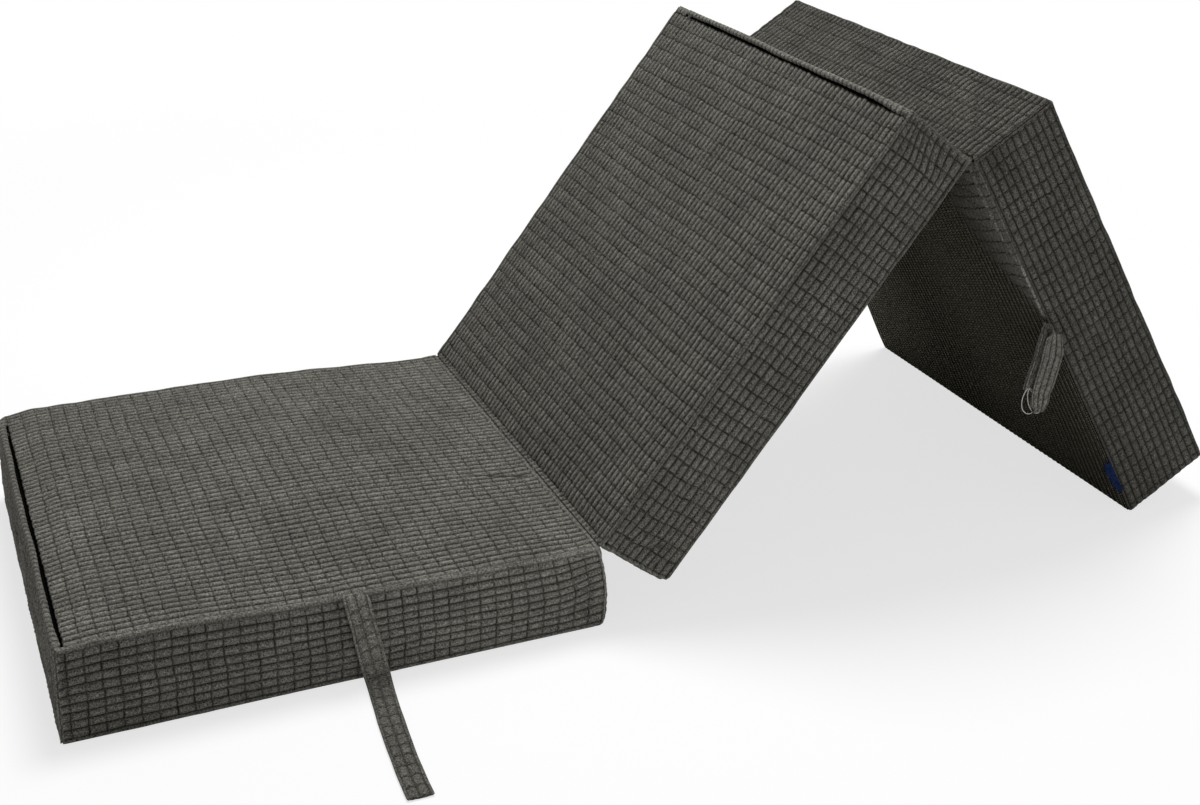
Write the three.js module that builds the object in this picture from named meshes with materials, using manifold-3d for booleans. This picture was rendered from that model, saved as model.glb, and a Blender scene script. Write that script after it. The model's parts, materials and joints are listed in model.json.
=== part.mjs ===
// A folding floor mattress of three padded sections, half folded, in millimetres.
// +X runs along the mattress from the section that lies flat, +Y runs across it and +Z is up.
// The origin is on the floor, under the middle of the left section.
import * as THREE from 'three';
import { mergeVertices } from 'three/addons/utils/BufferGeometryUtils.js';
import Module from 'manifold-3d';

const wasm = await Module();
wasm.setup();

// Section sizes: each is a foam block in a plush cover of its own.
const SECTION_LENGTH = 650;
const SECTION_WIDTH = 650;
const LEFT_HEIGHT = 115;
const MIDDLE_HEIGHT = 118;
const RIGHT_HEIGHT = 130;
const EDGE_RADIUS = 8;
const CROWN_HEIGHT = 4;
const CROWN_MARGIN = 22;
const SIDE_BULGE = 2.5;
const SIDE_DRAW_IN = 1.5;

// How far the middle section stands up from the left one.
const FOLD_ONE_DEG = 52;

// Cover cloth and its seams.
const PLUSH_THICKNESS = 3;
const BASE_CLOTH_THICKNESS = 1.6;
const CORE_CLEARANCE = 0.3;
const SEAM_CLEARANCE = 0.3;
const MITRE_DEPTH = 24;
const CUT_OVERRUN = 12;

// The folds: half the gap between two sections, and the sewn strip in it.
const FOLD_HALF_GAP = 3;
const SEAM_ROLL_RADIUS = 1.2;
const SEAM_ROLL_INSET = 6;
const ALLOWANCE_DEPTH = 20;
const ALLOWANCE_INSET = 12;

// The zip at each section's outer end, behind a standing lip.
const LIP_WIDTH = 7;
const LIP_HEIGHT = 3;
const LIP_ROOT = 1.5;
const CHANNEL_WIDTH = 6;
const CHANNEL_FRONT = 12;
const CHANNEL_BACK = 38;
const ZIP_TAPE_THICKNESS = 0.8;
const ZIP_COIL_WIDTH = 2.6;
const ZIP_COIL_HEIGHT = 1.2;
const SLIDER_WIDTH = 5;
const SLIDER_LENGTH = 9;
const SLIDER_PLATE = 1.2;
const SLIDER_PARK = 10;
const BAIL_WIDTH = 1.6;
const BAIL_LENGTH = 5;
const BAIL_HEIGHT = 1;

// The two tie straps.
const STRAP_WIDTH = 33;
const STRAP_THICKNESS = 4;
const STRAP_PLACE = 340;
const STRAP_SIDE_DRIFT = 18;
const STRAP_FLOOR_REACH = 275;
const STRAP_FLOOR_DRIFT = 27;
const STRAP_BEND_RADIUS = 18;
const SOFT_CLEARANCE = 0.3;
const BUNDLE_PLACE = 282;
const BUNDLE_DROP = 116;
const BUNDLE_STANDOFF = 2.9;
const BUNDLE_ROOT_WIDTH = 17;
const BUNDLE_SPREAD_DROP = 34;
const BUNDLE_TOP_TURN = 14;
const BUNDLE_TAIL_DROP = 58;
const LAYER_GAP = 0.6;

// Clear nylon loops that hold the bundled strap.
const NYLON_RADIUS = 0.5;
const NYLON_HOLE_RADIUS = 1.7;
const NYLON_HOLE_LIFT = 10;
const NYLON_HOLE_EDGE = 8;
const NYLON_HOLE_SPACING = 6;
const NYLON_SLACK = 4;
const NYLON_LEAN_DEG = 32;
const LOOP_CORNER_SHARE = 0.12;

// The small side label on the right section.
const LABEL_LENGTH = 60;
const LABEL_DROP = 11;
const LABEL_THICKNESS = 1;
const LABEL_PLACE = 579;

// Facet counts.
const STEPS_LONG = 6;
const STEPS_TALL = 2;
const ROUND_SIDES = 10;
const BEND_STEPS = 6;
const TURN_STEPS = 6;
const LOOP_STEPS = 32;
const LOOP_SIDES = 5;

// The end's swell fades with this power of the place along the section.
const END_FADE_POWER = 4;

const UP_NORMAL = Math.SQRT1_2;
const RING_ANGLE = Math.PI / 8;

const COLOURS = {
  plush: new THREE.MeshStandardMaterial({ color: 0x55554f, roughness: 0.95, metalness: 0 }),
  base: new THREE.MeshStandardMaterial({ color: 0x22211d, roughness: 0.9, metalness: 0 }),
  foam: new THREE.MeshStandardMaterial({ color: 0xe9e4d2, roughness: 1, metalness: 0 }),
  tape: new THREE.MeshStandardMaterial({ color: 0x151513, roughness: 0.9, metalness: 0 }),
  coil: new THREE.MeshStandardMaterial({ color: 0x1b1b1a, roughness: 0.5, metalness: 0 }),
  slider: new THREE.MeshStandardMaterial({ color: 0x2a2a2a, roughness: 0.4, metalness: 0.7 }),
  nylon: new THREE.MeshStandardMaterial({ color: 0xe8e8e8, roughness: 0.2, metalness: 0 }),
  label: new THREE.MeshStandardMaterial({ color: 0x1c2740, roughness: 0.7, metalness: 0 }),
};

const { clamp, degToRad: radians } = THREE.MathUtils;

// Turns a geometry into a closed solid that can be joined and cut.
function solidFrom(geometry) {
  const plain = geometry.index ? geometry.toNonIndexed() : geometry.clone();
  plain.deleteAttribute('normal');
  plain.deleteAttribute('uv');
  const merged = mergeVertices(plain);
  const vertProperties = new Float32Array(merged.attributes.position.array);
  const triVerts = new Uint32Array(merged.index.array);
  return new wasm.Manifold(new wasm.Mesh({ numProp: 3, vertProperties, triVerts }));
}

// Turns a solid back into a geometry.
function geometryFrom(solid) {
  const mesh = solid.getMesh();
  const geometry = new THREE.BufferGeometry();
  geometry.setAttribute('position', new THREE.BufferAttribute(mesh.vertProperties, 3));
  geometry.setIndex(new THREE.BufferAttribute(mesh.triVerts, 1));
  const faceted = geometry.toNonIndexed();
  faceted.computeVertexNormals();
  return faceted;
}

// A named mesh from a solid or a geometry.
function piece(name, shape, material) {
  const geometry = shape.getMesh ? geometryFrom(shape) : shape;
  const mesh = new THREE.Mesh(geometry, material);
  mesh.name = name;
  return mesh;
}

// A plain block between two corners.
function blockSolid(low, high) {
  const size = high.map((value, axis) => value - low[axis]);
  const geometry = new THREE.BoxGeometry(...size);
  geometry.translate(...low.map((value, axis) => value + size[axis] / 2));
  return solidFrom(geometry);
}

// Grid lines along one side of a block, close together where its edges are rounded.
function gridLines(low, high, radius, steps) {
  const near = radius * (1 - Math.tan(RING_ANGLE));
  const flat = high - low - 2 * radius;
  const lines = [low, low + near];
  for (let step = 0; step <= steps; step += 1) lines.push(low + radius + (flat * step) / steps);
  lines.push(high - near, high);
  return lines;
}

// Share of the full crown at one place between two sides: zero within the margin, one halfway.
function crownShare(value, length) {
  const place = (value - CROWN_MARGIN) / (length - 2 * CROWN_MARGIN);
  return Math.sin(Math.PI * clamp(place, 0, 1));
}

// The soft form of a section: a crown on top, and sides that swell halfway up and draw in between corners.
function soften(point, section) {
  const { height } = section;
  const alongShare = Math.sin((Math.PI * point.x) / SECTION_LENGTH);
  const acrossShare = Math.sin((Math.PI * point.y) / SECTION_WIDTH);
  const tallShare = Math.sin(Math.PI * clamp(point.z / height, 0, 1));
  const crown = crownShare(point.x, SECTION_LENGTH) * crownShare(point.y, SECTION_WIDTH);
  const swellY = (SIDE_BULGE * tallShare - SIDE_DRAW_IN) * alongShare;
  const swellX = (SIDE_BULGE * tallShare - SIDE_DRAW_IN) * acrossShare;
  const acrossPlace = (2 * point.y) / SECTION_WIDTH - 1;
  const freePlace = section.zipHigh ? point.x / SECTION_LENGTH : 1 - point.x / SECTION_LENGTH;
  const outward = section.zipHigh ? 1 : -1;
  point.y += acrossPlace * swellY;
  if (section.freeEnd) point.x += outward * freePlace ** END_FADE_POWER * swellX;
  point.z += crown * CROWN_HEIGHT * (point.z / height);
  return point;
}

// A section's closed form, set in from its outer faces by the given amounts.
function softBlock(section, inset) {
  const low = [section.low + inset.side, inset.side, inset.base];
  const high = [section.high - inset.side, SECTION_WIDTH - inset.side, section.height - inset.top];
  const radius = EDGE_RADIUS - inset.side;
  const steps = [STEPS_LONG, STEPS_LONG, STEPS_TALL];
  const lines = steps.map((count, axis) => gridLines(low[axis], high[axis], radius, count));
  const counts = lines.map((line) => line.length - 1);
  const geometry = new THREE.BoxGeometry(1, 1, 1, ...counts);
  const position = geometry.attributes.position;
  const point = new THREE.Vector3();
  for (let index = 0; index < position.count; index += 1) {
    const raw = [position.getX(index), position.getY(index), position.getZ(index)];
    const place = raw.map((value, axis) => lines[axis][Math.round((value + 0.5) * counts[axis])]);
    const inner = place.map((value, axis) => clamp(value, low[axis] + radius, high[axis] - radius));
    const out = new THREE.Vector3(...place.map((value, axis) => value - inner[axis])).setLength(radius);
    point.set(...inner).add(out);
    soften(point, section);
    position.setXYZ(index, point.x, point.y, point.z);
  }
  return solidFrom(geometry);
}

// The space of one face's panel: a block with mitred sides that meet the next panels' at the edges.
function mitreSolid(section, axis, highSide) {
  const low = [section.low, 0, 0];
  const high = [section.high, SECTION_WIDTH, section.height];
  const step = SEAM_CLEARANCE * UP_NORMAL;
  const geometry = new THREE.BoxGeometry(1, 1, 1);
  const position = geometry.attributes.position;
  for (let index = 0; index < position.count; index += 1) {
    const raw = [position.getX(index), position.getY(index), position.getZ(index)];
    const outside = raw[axis] > 0 === highSide;
    const spread = outside ? -CUT_OVERRUN : MITRE_DEPTH;
    const place = raw.map((value, side) => {
      const inset = side === axis ? spread : spread + step;
      if (side !== axis) return value > 0 ? high[side] - inset : low[side] + inset;
      return highSide ? high[side] - inset : low[side] + inset;
    });
    position.setXYZ(index, ...place);
  }
  return solidFrom(geometry);
}

// A place measured inwards from a section's zip end.
function fromZipEnd(section, distance) {
  return section.zipHigh ? section.high - distance : section.low + distance;
}

// A block between two distances from the zip end.
function zipBlock(section, near, far, back, front, bottom, top) {
  const ends = [fromZipEnd(section, near), fromZipEnd(section, far)].sort((a, b) => a - b);
  return blockSolid([ends[0], front, bottom], [ends[1], back, top]);
}

// The standing lip along the zip, a half-round roll that grows out of the end band.
function lipSolid(section, front, back) {
  const half = LIP_WIDTH / 2;
  const shape = new THREE.Shape();
  shape.moveTo(-half, -LIP_ROOT);
  shape.lineTo(half, -LIP_ROOT);
  shape.lineTo(half, 0);
  shape.absellipse(0, 0, half, LIP_HEIGHT, 0, Math.PI, false, 0);
  shape.closePath();
  const geometry = new THREE.ExtrudeGeometry(shape, {
    depth: back - front,
    bevelEnabled: false,
    curveSegments: ROUND_SIDES,
  });
  geometry.rotateX(Math.PI / 2);
  geometry.translate(fromZipEnd(section, half), back, section.height);
  return solidFrom(geometry);
}

// The cover of one section, cut from its closed form into the panels that are sewn together.
function coverPanels(section) {
  const plush = { side: PLUSH_THICKNESS, top: PLUSH_THICKNESS, base: BASE_CLOTH_THICKNESS };
  const shell = softBlock(section, { side: 0, top: 0, base: 0 }).subtract(softBlock(section, plush));
  const front = CHANNEL_FRONT;
  const back = SECTION_WIDTH - CHANNEL_BACK;
  const deep = section.height - 2 * EDGE_RADIUS;
  const over = section.height + CUT_OVERRUN;
  const channel = zipBlock(section, -CUT_OVERRUN, LIP_WIDTH + CHANNEL_WIDTH, back, front, deep, over);
  const lipFront = front + SEAM_CLEARANCE;
  const lipBack = back - SEAM_CLEARANCE;
  const lipSpace = zipBlock(section, -CUT_OVERRUN, LIP_WIDTH, lipBack, lipFront, deep, over);
  const zipSpace = mitreSolid(section, 0, section.zipHigh).add(lipSpace);
  const zipEnd = shell.intersect(zipSpace).add(lipSolid(section, lipFront, lipBack));
  return {
    top_panel: shell.intersect(mitreSolid(section, 2, true)).subtract(channel),
    front_band: shell.intersect(mitreSolid(section, 1, false)),
    back_band: shell.intersect(mitreSolid(section, 1, true)),
    zip_end_band: zipEnd,
    fold_end_band: shell.intersect(mitreSolid(section, 0, !section.zipHigh)),
    base_panel: shell.intersect(mitreSolid(section, 2, false)),
  };
}

// The foam block, one clearance inside the cover.
function foamCore(section) {
  return softBlock(section, {
    side: PLUSH_THICKNESS + CORE_CLEARANCE,
    top: PLUSH_THICKNESS + CORE_CLEARANCE,
    base: BASE_CLOTH_THICKNESS + CORE_CLEARANCE,
  });
}

// Heights of the zip's layers, from the tape at the bottom of the channel up to the slider's plate.
function zipLevels(section) {
  const tapeBottom = section.height - PLUSH_THICKNESS;
  const tapeTop = tapeBottom + ZIP_TAPE_THICKNESS;
  const coilBottom = tapeTop + SEAM_CLEARANCE;
  const coilTop = coilBottom + ZIP_COIL_HEIGHT;
  const plateBottom = coilTop + SEAM_CLEARANCE;
  return { tapeBottom, tapeTop, coilBottom, coilTop, plateBottom };
}

// The tape and the coil, which run the length of the channel.
function zipStrips(section) {
  const levels = zipLevels(section);
  const front = CHANNEL_FRONT + SEAM_CLEARANCE;
  const back = SECTION_WIDTH - CHANNEL_BACK - SEAM_CLEARANCE;
  const tapeNear = LIP_WIDTH + SEAM_CLEARANCE;
  const tapeFar = LIP_WIDTH + CHANNEL_WIDTH - SEAM_CLEARANCE;
  const coilNear = LIP_WIDTH + (CHANNEL_WIDTH - ZIP_COIL_WIDTH) / 2;
  const coilFar = coilNear + ZIP_COIL_WIDTH;
  return {
    tape: zipBlock(section, tapeNear, tapeFar, back, front, levels.tapeBottom, levels.tapeTop),
    coil: zipBlock(section, coilNear, coilFar, back, front, levels.coilBottom, levels.coilTop),
  };
}

// The slider bridges the coil and is parked at the closed end; a low bail stands on its plate.
function zipSlider(section) {
  const levels = zipLevels(section);
  const middle = LIP_WIDTH + CHANNEL_WIDTH / 2;
  const back = SECTION_WIDTH - CHANNEL_BACK - SLIDER_PARK;
  const front = back - SLIDER_LENGTH;
  const half = SLIDER_WIDTH / 2;
  const grooveHalf = ZIP_COIL_WIDTH / 2 + SEAM_CLEARANCE;
  const plateTop = levels.plateBottom + SLIDER_PLATE;
  const body = zipBlock(section, middle - half, middle + half, back, front, levels.coilBottom, plateTop);
  const overBack = back + CUT_OVERRUN;
  const overFront = front - CUT_OVERRUN;
  const under = levels.coilBottom - CUT_OVERRUN;
  const groove = zipBlock(
    section, middle - grooveHalf, middle + grooveHalf, overBack, overFront, under, levels.plateBottom,
  );
  const bailFront = (front + back - BAIL_LENGTH) / 2;
  const bailTop = plateTop + BAIL_HEIGHT;
  const bail = zipBlock(
    section, middle - BAIL_WIDTH / 2, middle + BAIL_WIDTH / 2,
    bailFront + BAIL_LENGTH, bailFront, levels.plateBottom, bailTop,
  );
  return body.subtract(groove).add(bail);
}

// One padded section with its cover and its zip, in its own frame.
function buildSection(section) {
  const group = new THREE.Group();
  group.add(piece(`${section.name}_core`, foamCore(section), COLOURS.foam));
  const panels = coverPanels(section);
  for (const [part, solid] of Object.entries(panels)) {
    const material = part === 'base_panel' ? COLOURS.base : COLOURS.plush;
    group.add(piece(`${section.name}_${part}`, solid, material));
  }
  const zip = zipStrips(section);
  group.add(piece(`${section.name}_zip_tape`, zip.tape, COLOURS.tape));
  group.add(piece(`${section.name}_zip_coil`, zip.coil, COLOURS.coil));
  group.add(piece(`${section.name}_zip_slider`, zipSlider(section), COLOURS.slider));
  return group;
}

// The sewn roll that a fold turns on, along +Y.
function seamRoll(name) {
  const length = SECTION_WIDTH - 2 * SEAM_ROLL_INSET;
  const geometry = new THREE.CylinderGeometry(SEAM_ROLL_RADIUS, SEAM_ROLL_RADIUS, length, ROUND_SIDES);
  const roll = piece(name, geometry, COLOURS.plush);
  roll.position.y = SECTION_WIDTH / 2;
  return roll;
}

// The seam allowance beside a fold; side is -1 or 1 along X, and rise is the way it runs from the roll.
function seamAllowance(name, side, rise) {
  const reach = SEAM_ROLL_RADIUS + SEAM_CLEARANCE;
  const across = [side * SEAM_CLEARANCE, side * (FOLD_HALF_GAP - SEAM_CLEARANCE)].sort((a, b) => a - b);
  const tall = [rise * reach, rise * ALLOWANCE_DEPTH].sort((a, b) => a - b);
  const solid = blockSolid(
    [across[0], ALLOWANCE_INSET, tall[0]],
    [across[1], SECTION_WIDTH - ALLOWANCE_INSET, tall[1]],
  );
  return piece(name, solid, COLOURS.plush);
}

// A strip of cloth as a closed solid: each station has its middle, half its width and half its thickness.
function ribbon(stations) {
  const corners = [[-1, -1], [1, -1], [1, 1], [-1, 1]];
  const points = stations.flatMap(({ middle, across, thick }) => corners.map(([a, t]) => (
    middle.clone().addScaledVector(across, a).addScaledVector(thick, t)
  )));
  const count = corners.length;
  const faces = [];
  for (let index = 0; index < stations.length - 1; index += 1) {
    for (let side = 0; side < count; side += 1) {
      const near = index * count + side;
      const next = index * count + ((side + 1) % count);
      faces.push(near, near + count, next, next, near + count, next + count);
    }
  }
  const last = (stations.length - 1) * count;
  faces.push(0, 1, 2, 0, 2, 3, last, last + 2, last + 1, last, last + 3, last + 2);
  const geometry = new THREE.BufferGeometry().setFromPoints(points);
  geometry.setIndex(faces);
  return geometry.toNonIndexed();
}

// How far a seam on a rounded edge lies inside the block's sharp corner, along either face.
function seamInset() {
  return EDGE_RADIUS * (1 - UP_NORMAL);
}

// Middle of a strip where it is sewn into a long edge: just outside the seam, on the diagonal.
function rootPlace(thickness) {
  const outside = (SOFT_CLEARANCE + thickness / 2) * UP_NORMAL;
  return { y: seamInset() + SIDE_DRAW_IN - outside, inward: seamInset() - outside };
}

// Adds to a path the points of an arc in the plane of Y and Z.
function addArc(path, centre, radius, start, end, steps) {
  for (let step = 1; step <= steps; step += 1) {
    const angle = start + ((end - start) * step) / steps;
    path.push({
      y: centre.y + radius * Math.cos(angle),
      z: centre.z + radius * Math.sin(angle),
      ny: Math.cos(angle),
      nz: Math.sin(angle),
    });
  }
}

// The long strap's side view: out of the seam, down the band, round onto the floor and forwards.
function longStrapPath() {
  const half = STRAP_THICKNESS / 2;
  const root = rootPlace(STRAP_THICKNESS);
  const hang = SIDE_DRAW_IN - SIDE_BULGE - SOFT_CLEARANCE - half;
  const floor = SOFT_CLEARANCE + half;
  const top = LEFT_HEIGHT - root.inward;
  const shoulder = LEFT_HEIGHT - EDGE_RADIUS;
  const path = [
    { y: root.y, z: top, ny: UP_NORMAL, nz: -UP_NORMAL },
    { y: (root.y + hang) / 2, z: (top + shoulder) / 2, ny: 1, nz: 0 },
    { y: hang, z: shoulder, ny: 1, nz: 0 },
  ];
  const centre = { y: hang - STRAP_BEND_RADIUS, z: floor + STRAP_BEND_RADIUS };
  path.push({ y: hang, z: centre.z, ny: 1, nz: 0 });
  addArc(path, centre, STRAP_BEND_RADIUS, 0, -Math.PI / 2, BEND_STEPS);
  path.push({ y: -STRAP_FLOOR_REACH, z: floor, ny: 0, nz: -1 });
  return path;
}

// The long tie strap: it drifts sideways as it comes down, and back again along the floor.
function longStrap() {
  const path = longStrapPath();
  const halfWidth = STRAP_WIDTH / 2;
  const stations = path.map(({ y, z, ny, nz }) => {
    const sideways = STRAP_SIDE_DRIFT * (1 - z / LEFT_HEIGHT) + (STRAP_FLOOR_DRIFT * y) / STRAP_FLOOR_REACH;
    return {
      middle: new THREE.Vector3(STRAP_PLACE + sideways, y, z),
      across: new THREE.Vector3(halfWidth, 0, 0),
      thick: new THREE.Vector3(0, ny, nz).multiplyScalar(STRAP_THICKNESS / 2),
    };
  });
  return piece('long_tie_strap', ribbon(stations), COLOURS.plush);
}

// Adds the half turn at the top of the bundle, where the strap comes over and goes down again.
function addTurn(path, y, z, radius) {
  for (let step = 1; step <= TURN_STEPS; step += 1) {
    const angle = (Math.PI * step) / TURN_STEPS;
    path.push({
      y: y + radius * Math.cos(angle),
      z: z + radius * Math.sin(angle),
      ny: -Math.cos(angle),
      nz: -Math.sin(angle),
    });
  }
}

// The bundled strap's side view: down, and then folded up and down in front of itself.
function bundlePath() {
  const half = STRAP_THICKNESS / 2;
  const pitch = STRAP_THICKNESS + LAYER_GAP;
  const first = -BUNDLE_STANDOFF - half;
  const low = -BUNDLE_DROP + half + pitch / 2;
  const high = -BUNDLE_TOP_TURN;
  const path = [{ y: first, z: -BUNDLE_TOP_TURN / 2, ny: 1, nz: 0 }];
  path.push({ y: first, z: -BUNDLE_SPREAD_DROP, ny: 1, nz: 0 });
  path.push({ y: first, z: low, ny: 1, nz: 0 });
  addArc(path, { y: first - pitch / 2, z: low }, pitch / 2, 0, -Math.PI, TURN_STEPS);
  path.push({ y: first - pitch, z: -BUNDLE_SPREAD_DROP, ny: -1, nz: 0 });
  path.push({ y: first - pitch, z: high, ny: -1, nz: 0 });
  addTurn(path, first - (3 * pitch) / 2, high, pitch / 2);
  path.push({ y: first - 2 * pitch, z: -BUNDLE_SPREAD_DROP, ny: 1, nz: 0 });
  path.push({ y: first - 2 * pitch, z: low, ny: 1, nz: 0 });
  addArc(path, { y: first - (5 * pitch) / 2, z: low }, pitch / 2, 0, -Math.PI, TURN_STEPS);
  path.push({ y: first - 3 * pitch, z: -BUNDLE_TAIL_DROP, ny: -1, nz: 0 });
  return path;
}

// Straight down and level in the right section's own frame, while the mattress stands as photographed.
function hangingAxes(slope) {
  return {
    down: new THREE.Vector3(Math.sin(slope), 0, -Math.cos(slope)),
    level: new THREE.Vector3(Math.cos(slope), 0, Math.sin(slope)),
  };
}

// A point of the bundle, from its height over the seam, its place across and its place in depth.
function bundlePoint(axes, across, y, z) {
  const point = new THREE.Vector3(BUNDLE_PLACE, y, 0);
  return point.addScaledVector(axes.level, across).addScaledVector(axes.down, -z);
}

// The bundled tie strap, sewn along the sloping edge and hanging straight down from it.
function bundledStrap(slope) {
  const axes = hangingAxes(slope);
  const root = rootPlace(STRAP_THICKNESS);
  const halfThick = STRAP_THICKNESS / 2;
  const sewn = new THREE.Vector3(BUNDLE_ROOT_WIDTH / 2, 0, 0);
  const spread = axes.level.clone().multiplyScalar(STRAP_WIDTH / 2);
  const stations = [{
    middle: new THREE.Vector3(BUNDLE_PLACE, root.y, root.inward),
    across: sewn,
    thick: new THREE.Vector3(0, UP_NORMAL, UP_NORMAL).multiplyScalar(halfThick),
  }];
  for (const { y, z, ny, nz } of bundlePath()) {
    const share = clamp(-z / BUNDLE_SPREAD_DROP, 0, 1);
    const side = sewn.clone().lerp(spread, share);
    const normal = axes.down.clone().multiplyScalar(-nz * halfThick);
    stations.push({
      middle: bundlePoint(axes, 0, y, z),
      across: side,
      thick: normal.add(new THREE.Vector3(0, ny * halfThick, 0)),
    });
  }
  return solidFrom(ribbon(stations));
}

// The two holes of the nylon loops, by their place across the bundle and their height over its end.
function nylonHoles() {
  const side = -STRAP_WIDTH / 2 + NYLON_HOLE_EDGE;
  const height = -BUNDLE_DROP + NYLON_HOLE_LIFT;
  return [
    { name: 'nylon_loop_outer', across: side, z: height },
    { name: 'nylon_loop_inner', across: side + NYLON_HOLE_SPACING, z: height },
  ];
}

// The front and the back of the bundle, between which the loops pass.
function bundleDepth() {
  const pitch = STRAP_THICKNESS + LAYER_GAP;
  return { near: -BUNDLE_STANDOFF, far: -BUNDLE_STANDOFF - 3 * pitch - STRAP_THICKNESS };
}

// A drill through the whole bundle.
function nylonDrill(slope, hole) {
  const axes = hangingAxes(slope);
  const depth = bundleDepth();
  const length = depth.near - depth.far + 2 * CUT_OVERRUN;
  const geometry = new THREE.CylinderGeometry(NYLON_HOLE_RADIUS, NYLON_HOLE_RADIUS, length, ROUND_SIDES);
  const middle = bundlePoint(axes, hole.across, (depth.near + depth.far) / 2, hole.z);
  geometry.translate(middle.x, middle.y, middle.z);
  return solidFrom(geometry);
}

// One closed nylon loop: through its hole and round under the bundle's lower end.
function nylonLoop(slope, hole) {
  const axes = hangingAxes(slope);
  const depth = bundleDepth();
  const reach = NYLON_RADIUS + SOFT_CLEARANCE;
  const back = depth.near + reach;
  const front = depth.far - reach;
  const lean = radians(NYLON_LEAN_DEG);
  const drop = (NYLON_HOLE_LIFT + NYLON_SLACK) / Math.cos(lean);
  const at = (y, share) => bundlePoint(
    axes, hole.across + drop * share * Math.sin(lean), y, hole.z - drop * share * Math.cos(lean),
  );
  const inset = reach + NYLON_RADIUS;
  const halfway = (back + front) / 2;
  const sideShares = [LOOP_CORNER_SHARE, 1 / 2, 1 - LOOP_CORNER_SHARE];
  const points = [
    at(back - inset, 0), at(halfway, 0), at(front + inset, 0),
    ...sideShares.map((share) => at(front, share)),
    at(front + inset, 1), at(halfway, 1), at(back - inset, 1),
    ...sideShares.map((share) => at(back, 1 - share)),
  ];
  const curve = new THREE.CatmullRomCurve3(points, true, 'centripetal');
  const geometry = new THREE.TubeGeometry(curve, LOOP_STEPS, NYLON_RADIUS, LOOP_SIDES, true);
  return solidFrom(geometry);
}

// The bare side label, sewn into the right section's lower front edge.
function sideLabel() {
  const root = rootPlace(LABEL_THICKNESS);
  const half = LABEL_THICKNESS / 2;
  const across = new THREE.Vector3(LABEL_LENGTH / 2, 0, 0);
  const hang = -SOFT_CLEARANCE - half;
  const stations = [
    { y: root.y, z: root.inward, ny: UP_NORMAL, nz: UP_NORMAL },
    { y: hang, z: -half, ny: 1, nz: 0 },
    { y: hang, z: -LABEL_DROP, ny: 1, nz: 0 },
  ].map(({ y, z, ny, nz }) => ({
    middle: new THREE.Vector3(LABEL_PLACE, y, z),
    across,
    thick: new THREE.Vector3(0, ny * half, nz * half),
  }));
  return piece('side_label', ribbon(stations), COLOURS.label);
}

// Slope of the right section, so that its rounded lower edge just touches the floor.
function rightSlope() {
  const lift = radians(FOLD_ONE_DEG);
  const ridge = LEFT_HEIGHT + SECTION_LENGTH * Math.sin(lift) - MIDDLE_HEIGHT * Math.cos(lift);
  const along = SECTION_LENGTH - EDGE_RADIUS;
  const reach = Math.hypot(along, EDGE_RADIUS);
  return Math.atan2(EDGE_RADIUS, along) + Math.asin((ridge - EDGE_RADIUS) / reach);
}

const LEFT = {
  name: 'left',
  height: LEFT_HEIGHT,
  low: 0,
  high: SECTION_LENGTH - FOLD_HALF_GAP,
  zipHigh: false,
  freeEnd: true,
};
const MIDDLE = {
  name: 'middle',
  height: MIDDLE_HEIGHT,
  low: FOLD_HALF_GAP,
  high: SECTION_LENGTH - FOLD_HALF_GAP,
  zipHigh: true,
  freeEnd: false,
};
const RIGHT = {
  name: 'right',
  height: RIGHT_HEIGHT,
  low: FOLD_HALF_GAP,
  high: SECTION_LENGTH,
  zipHigh: true,
  freeEnd: true,
};

// The left section lies on the floor and carries the first fold and the long strap.
function leftSection() {
  const group = buildSection(LEFT);
  group.add(longStrap());
  return group;
}

// The first fold is on the top edge between the left and the middle section.
function foldOne() {
  const fold = new THREE.Group();
  fold.add(seamRoll('fold_one_seam_roll'));
  fold.add(seamAllowance('fold_one_allowance_left', -1, -1));
  fold.position.set(SECTION_LENGTH, 0, LEFT_HEIGHT);
  return fold;
}

// The second fold is on the bottom edge between the middle and the right section.
function foldTwo() {
  const fold = new THREE.Group();
  fold.add(seamRoll('fold_two_seam_roll'));
  fold.add(seamAllowance('fold_two_allowance_middle', -1, 1));
  fold.position.set(SECTION_LENGTH, 0, 0);
  return fold;
}

// The right section, from the second fold down to the floor, with the bundled strap and the label.
function rightSection(slope) {
  const group = buildSection(RIGHT);
  group.add(seamAllowance('fold_two_allowance_right', 1, 1));
  const holes = nylonHoles();
  const drills = holes.map((hole) => nylonDrill(slope, hole));
  const strap = drills.reduce((solid, drill) => solid.subtract(drill), bundledStrap(slope));
  group.add(piece('bundled_tie_strap', strap, COLOURS.plush));
  for (const hole of holes) group.add(piece(hole.name, nylonLoop(slope, hole), COLOURS.nylon));
  group.add(sideLabel());
  return group;
}

// The middle section leans up from the first fold and carries the right one at its far end.
function middleSection(slope) {
  const group = buildSection(MIDDLE);
  group.add(foldTwo());
  const right = rightSection(slope);
  right.position.set(SECTION_LENGTH, 0, 0);
  right.rotation.y = slope + radians(FOLD_ONE_DEG);
  group.add(right);
  group.position.z = -MIDDLE_HEIGHT;
  const hinged = new THREE.Group();
  hinged.add(group);
  hinged.add(seamAllowance('fold_one_allowance_middle', 1, -1));
  hinged.position.set(SECTION_LENGTH, 0, LEFT_HEIGHT);
  hinged.rotation.y = -radians(FOLD_ONE_DEG);
  return hinged;
}

// The whole mattress, moved so that the origin is under the middle of the left section.
function mattress() {
  const slope = rightSlope();
  const group = new THREE.Group();
  group.add(leftSection());
  group.add(foldOne());
  group.add(middleSection(slope));
  group.position.set(-SECTION_LENGTH / 2, -SECTION_WIDTH / 2, 0);
  const whole = new THREE.Group();
  whole.add(group);
  return whole;
}

export default mattress();
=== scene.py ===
import json
import math
from collections import namedtuple

import bpy
import numpy as np
from mathutils import Matrix, Vector


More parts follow.
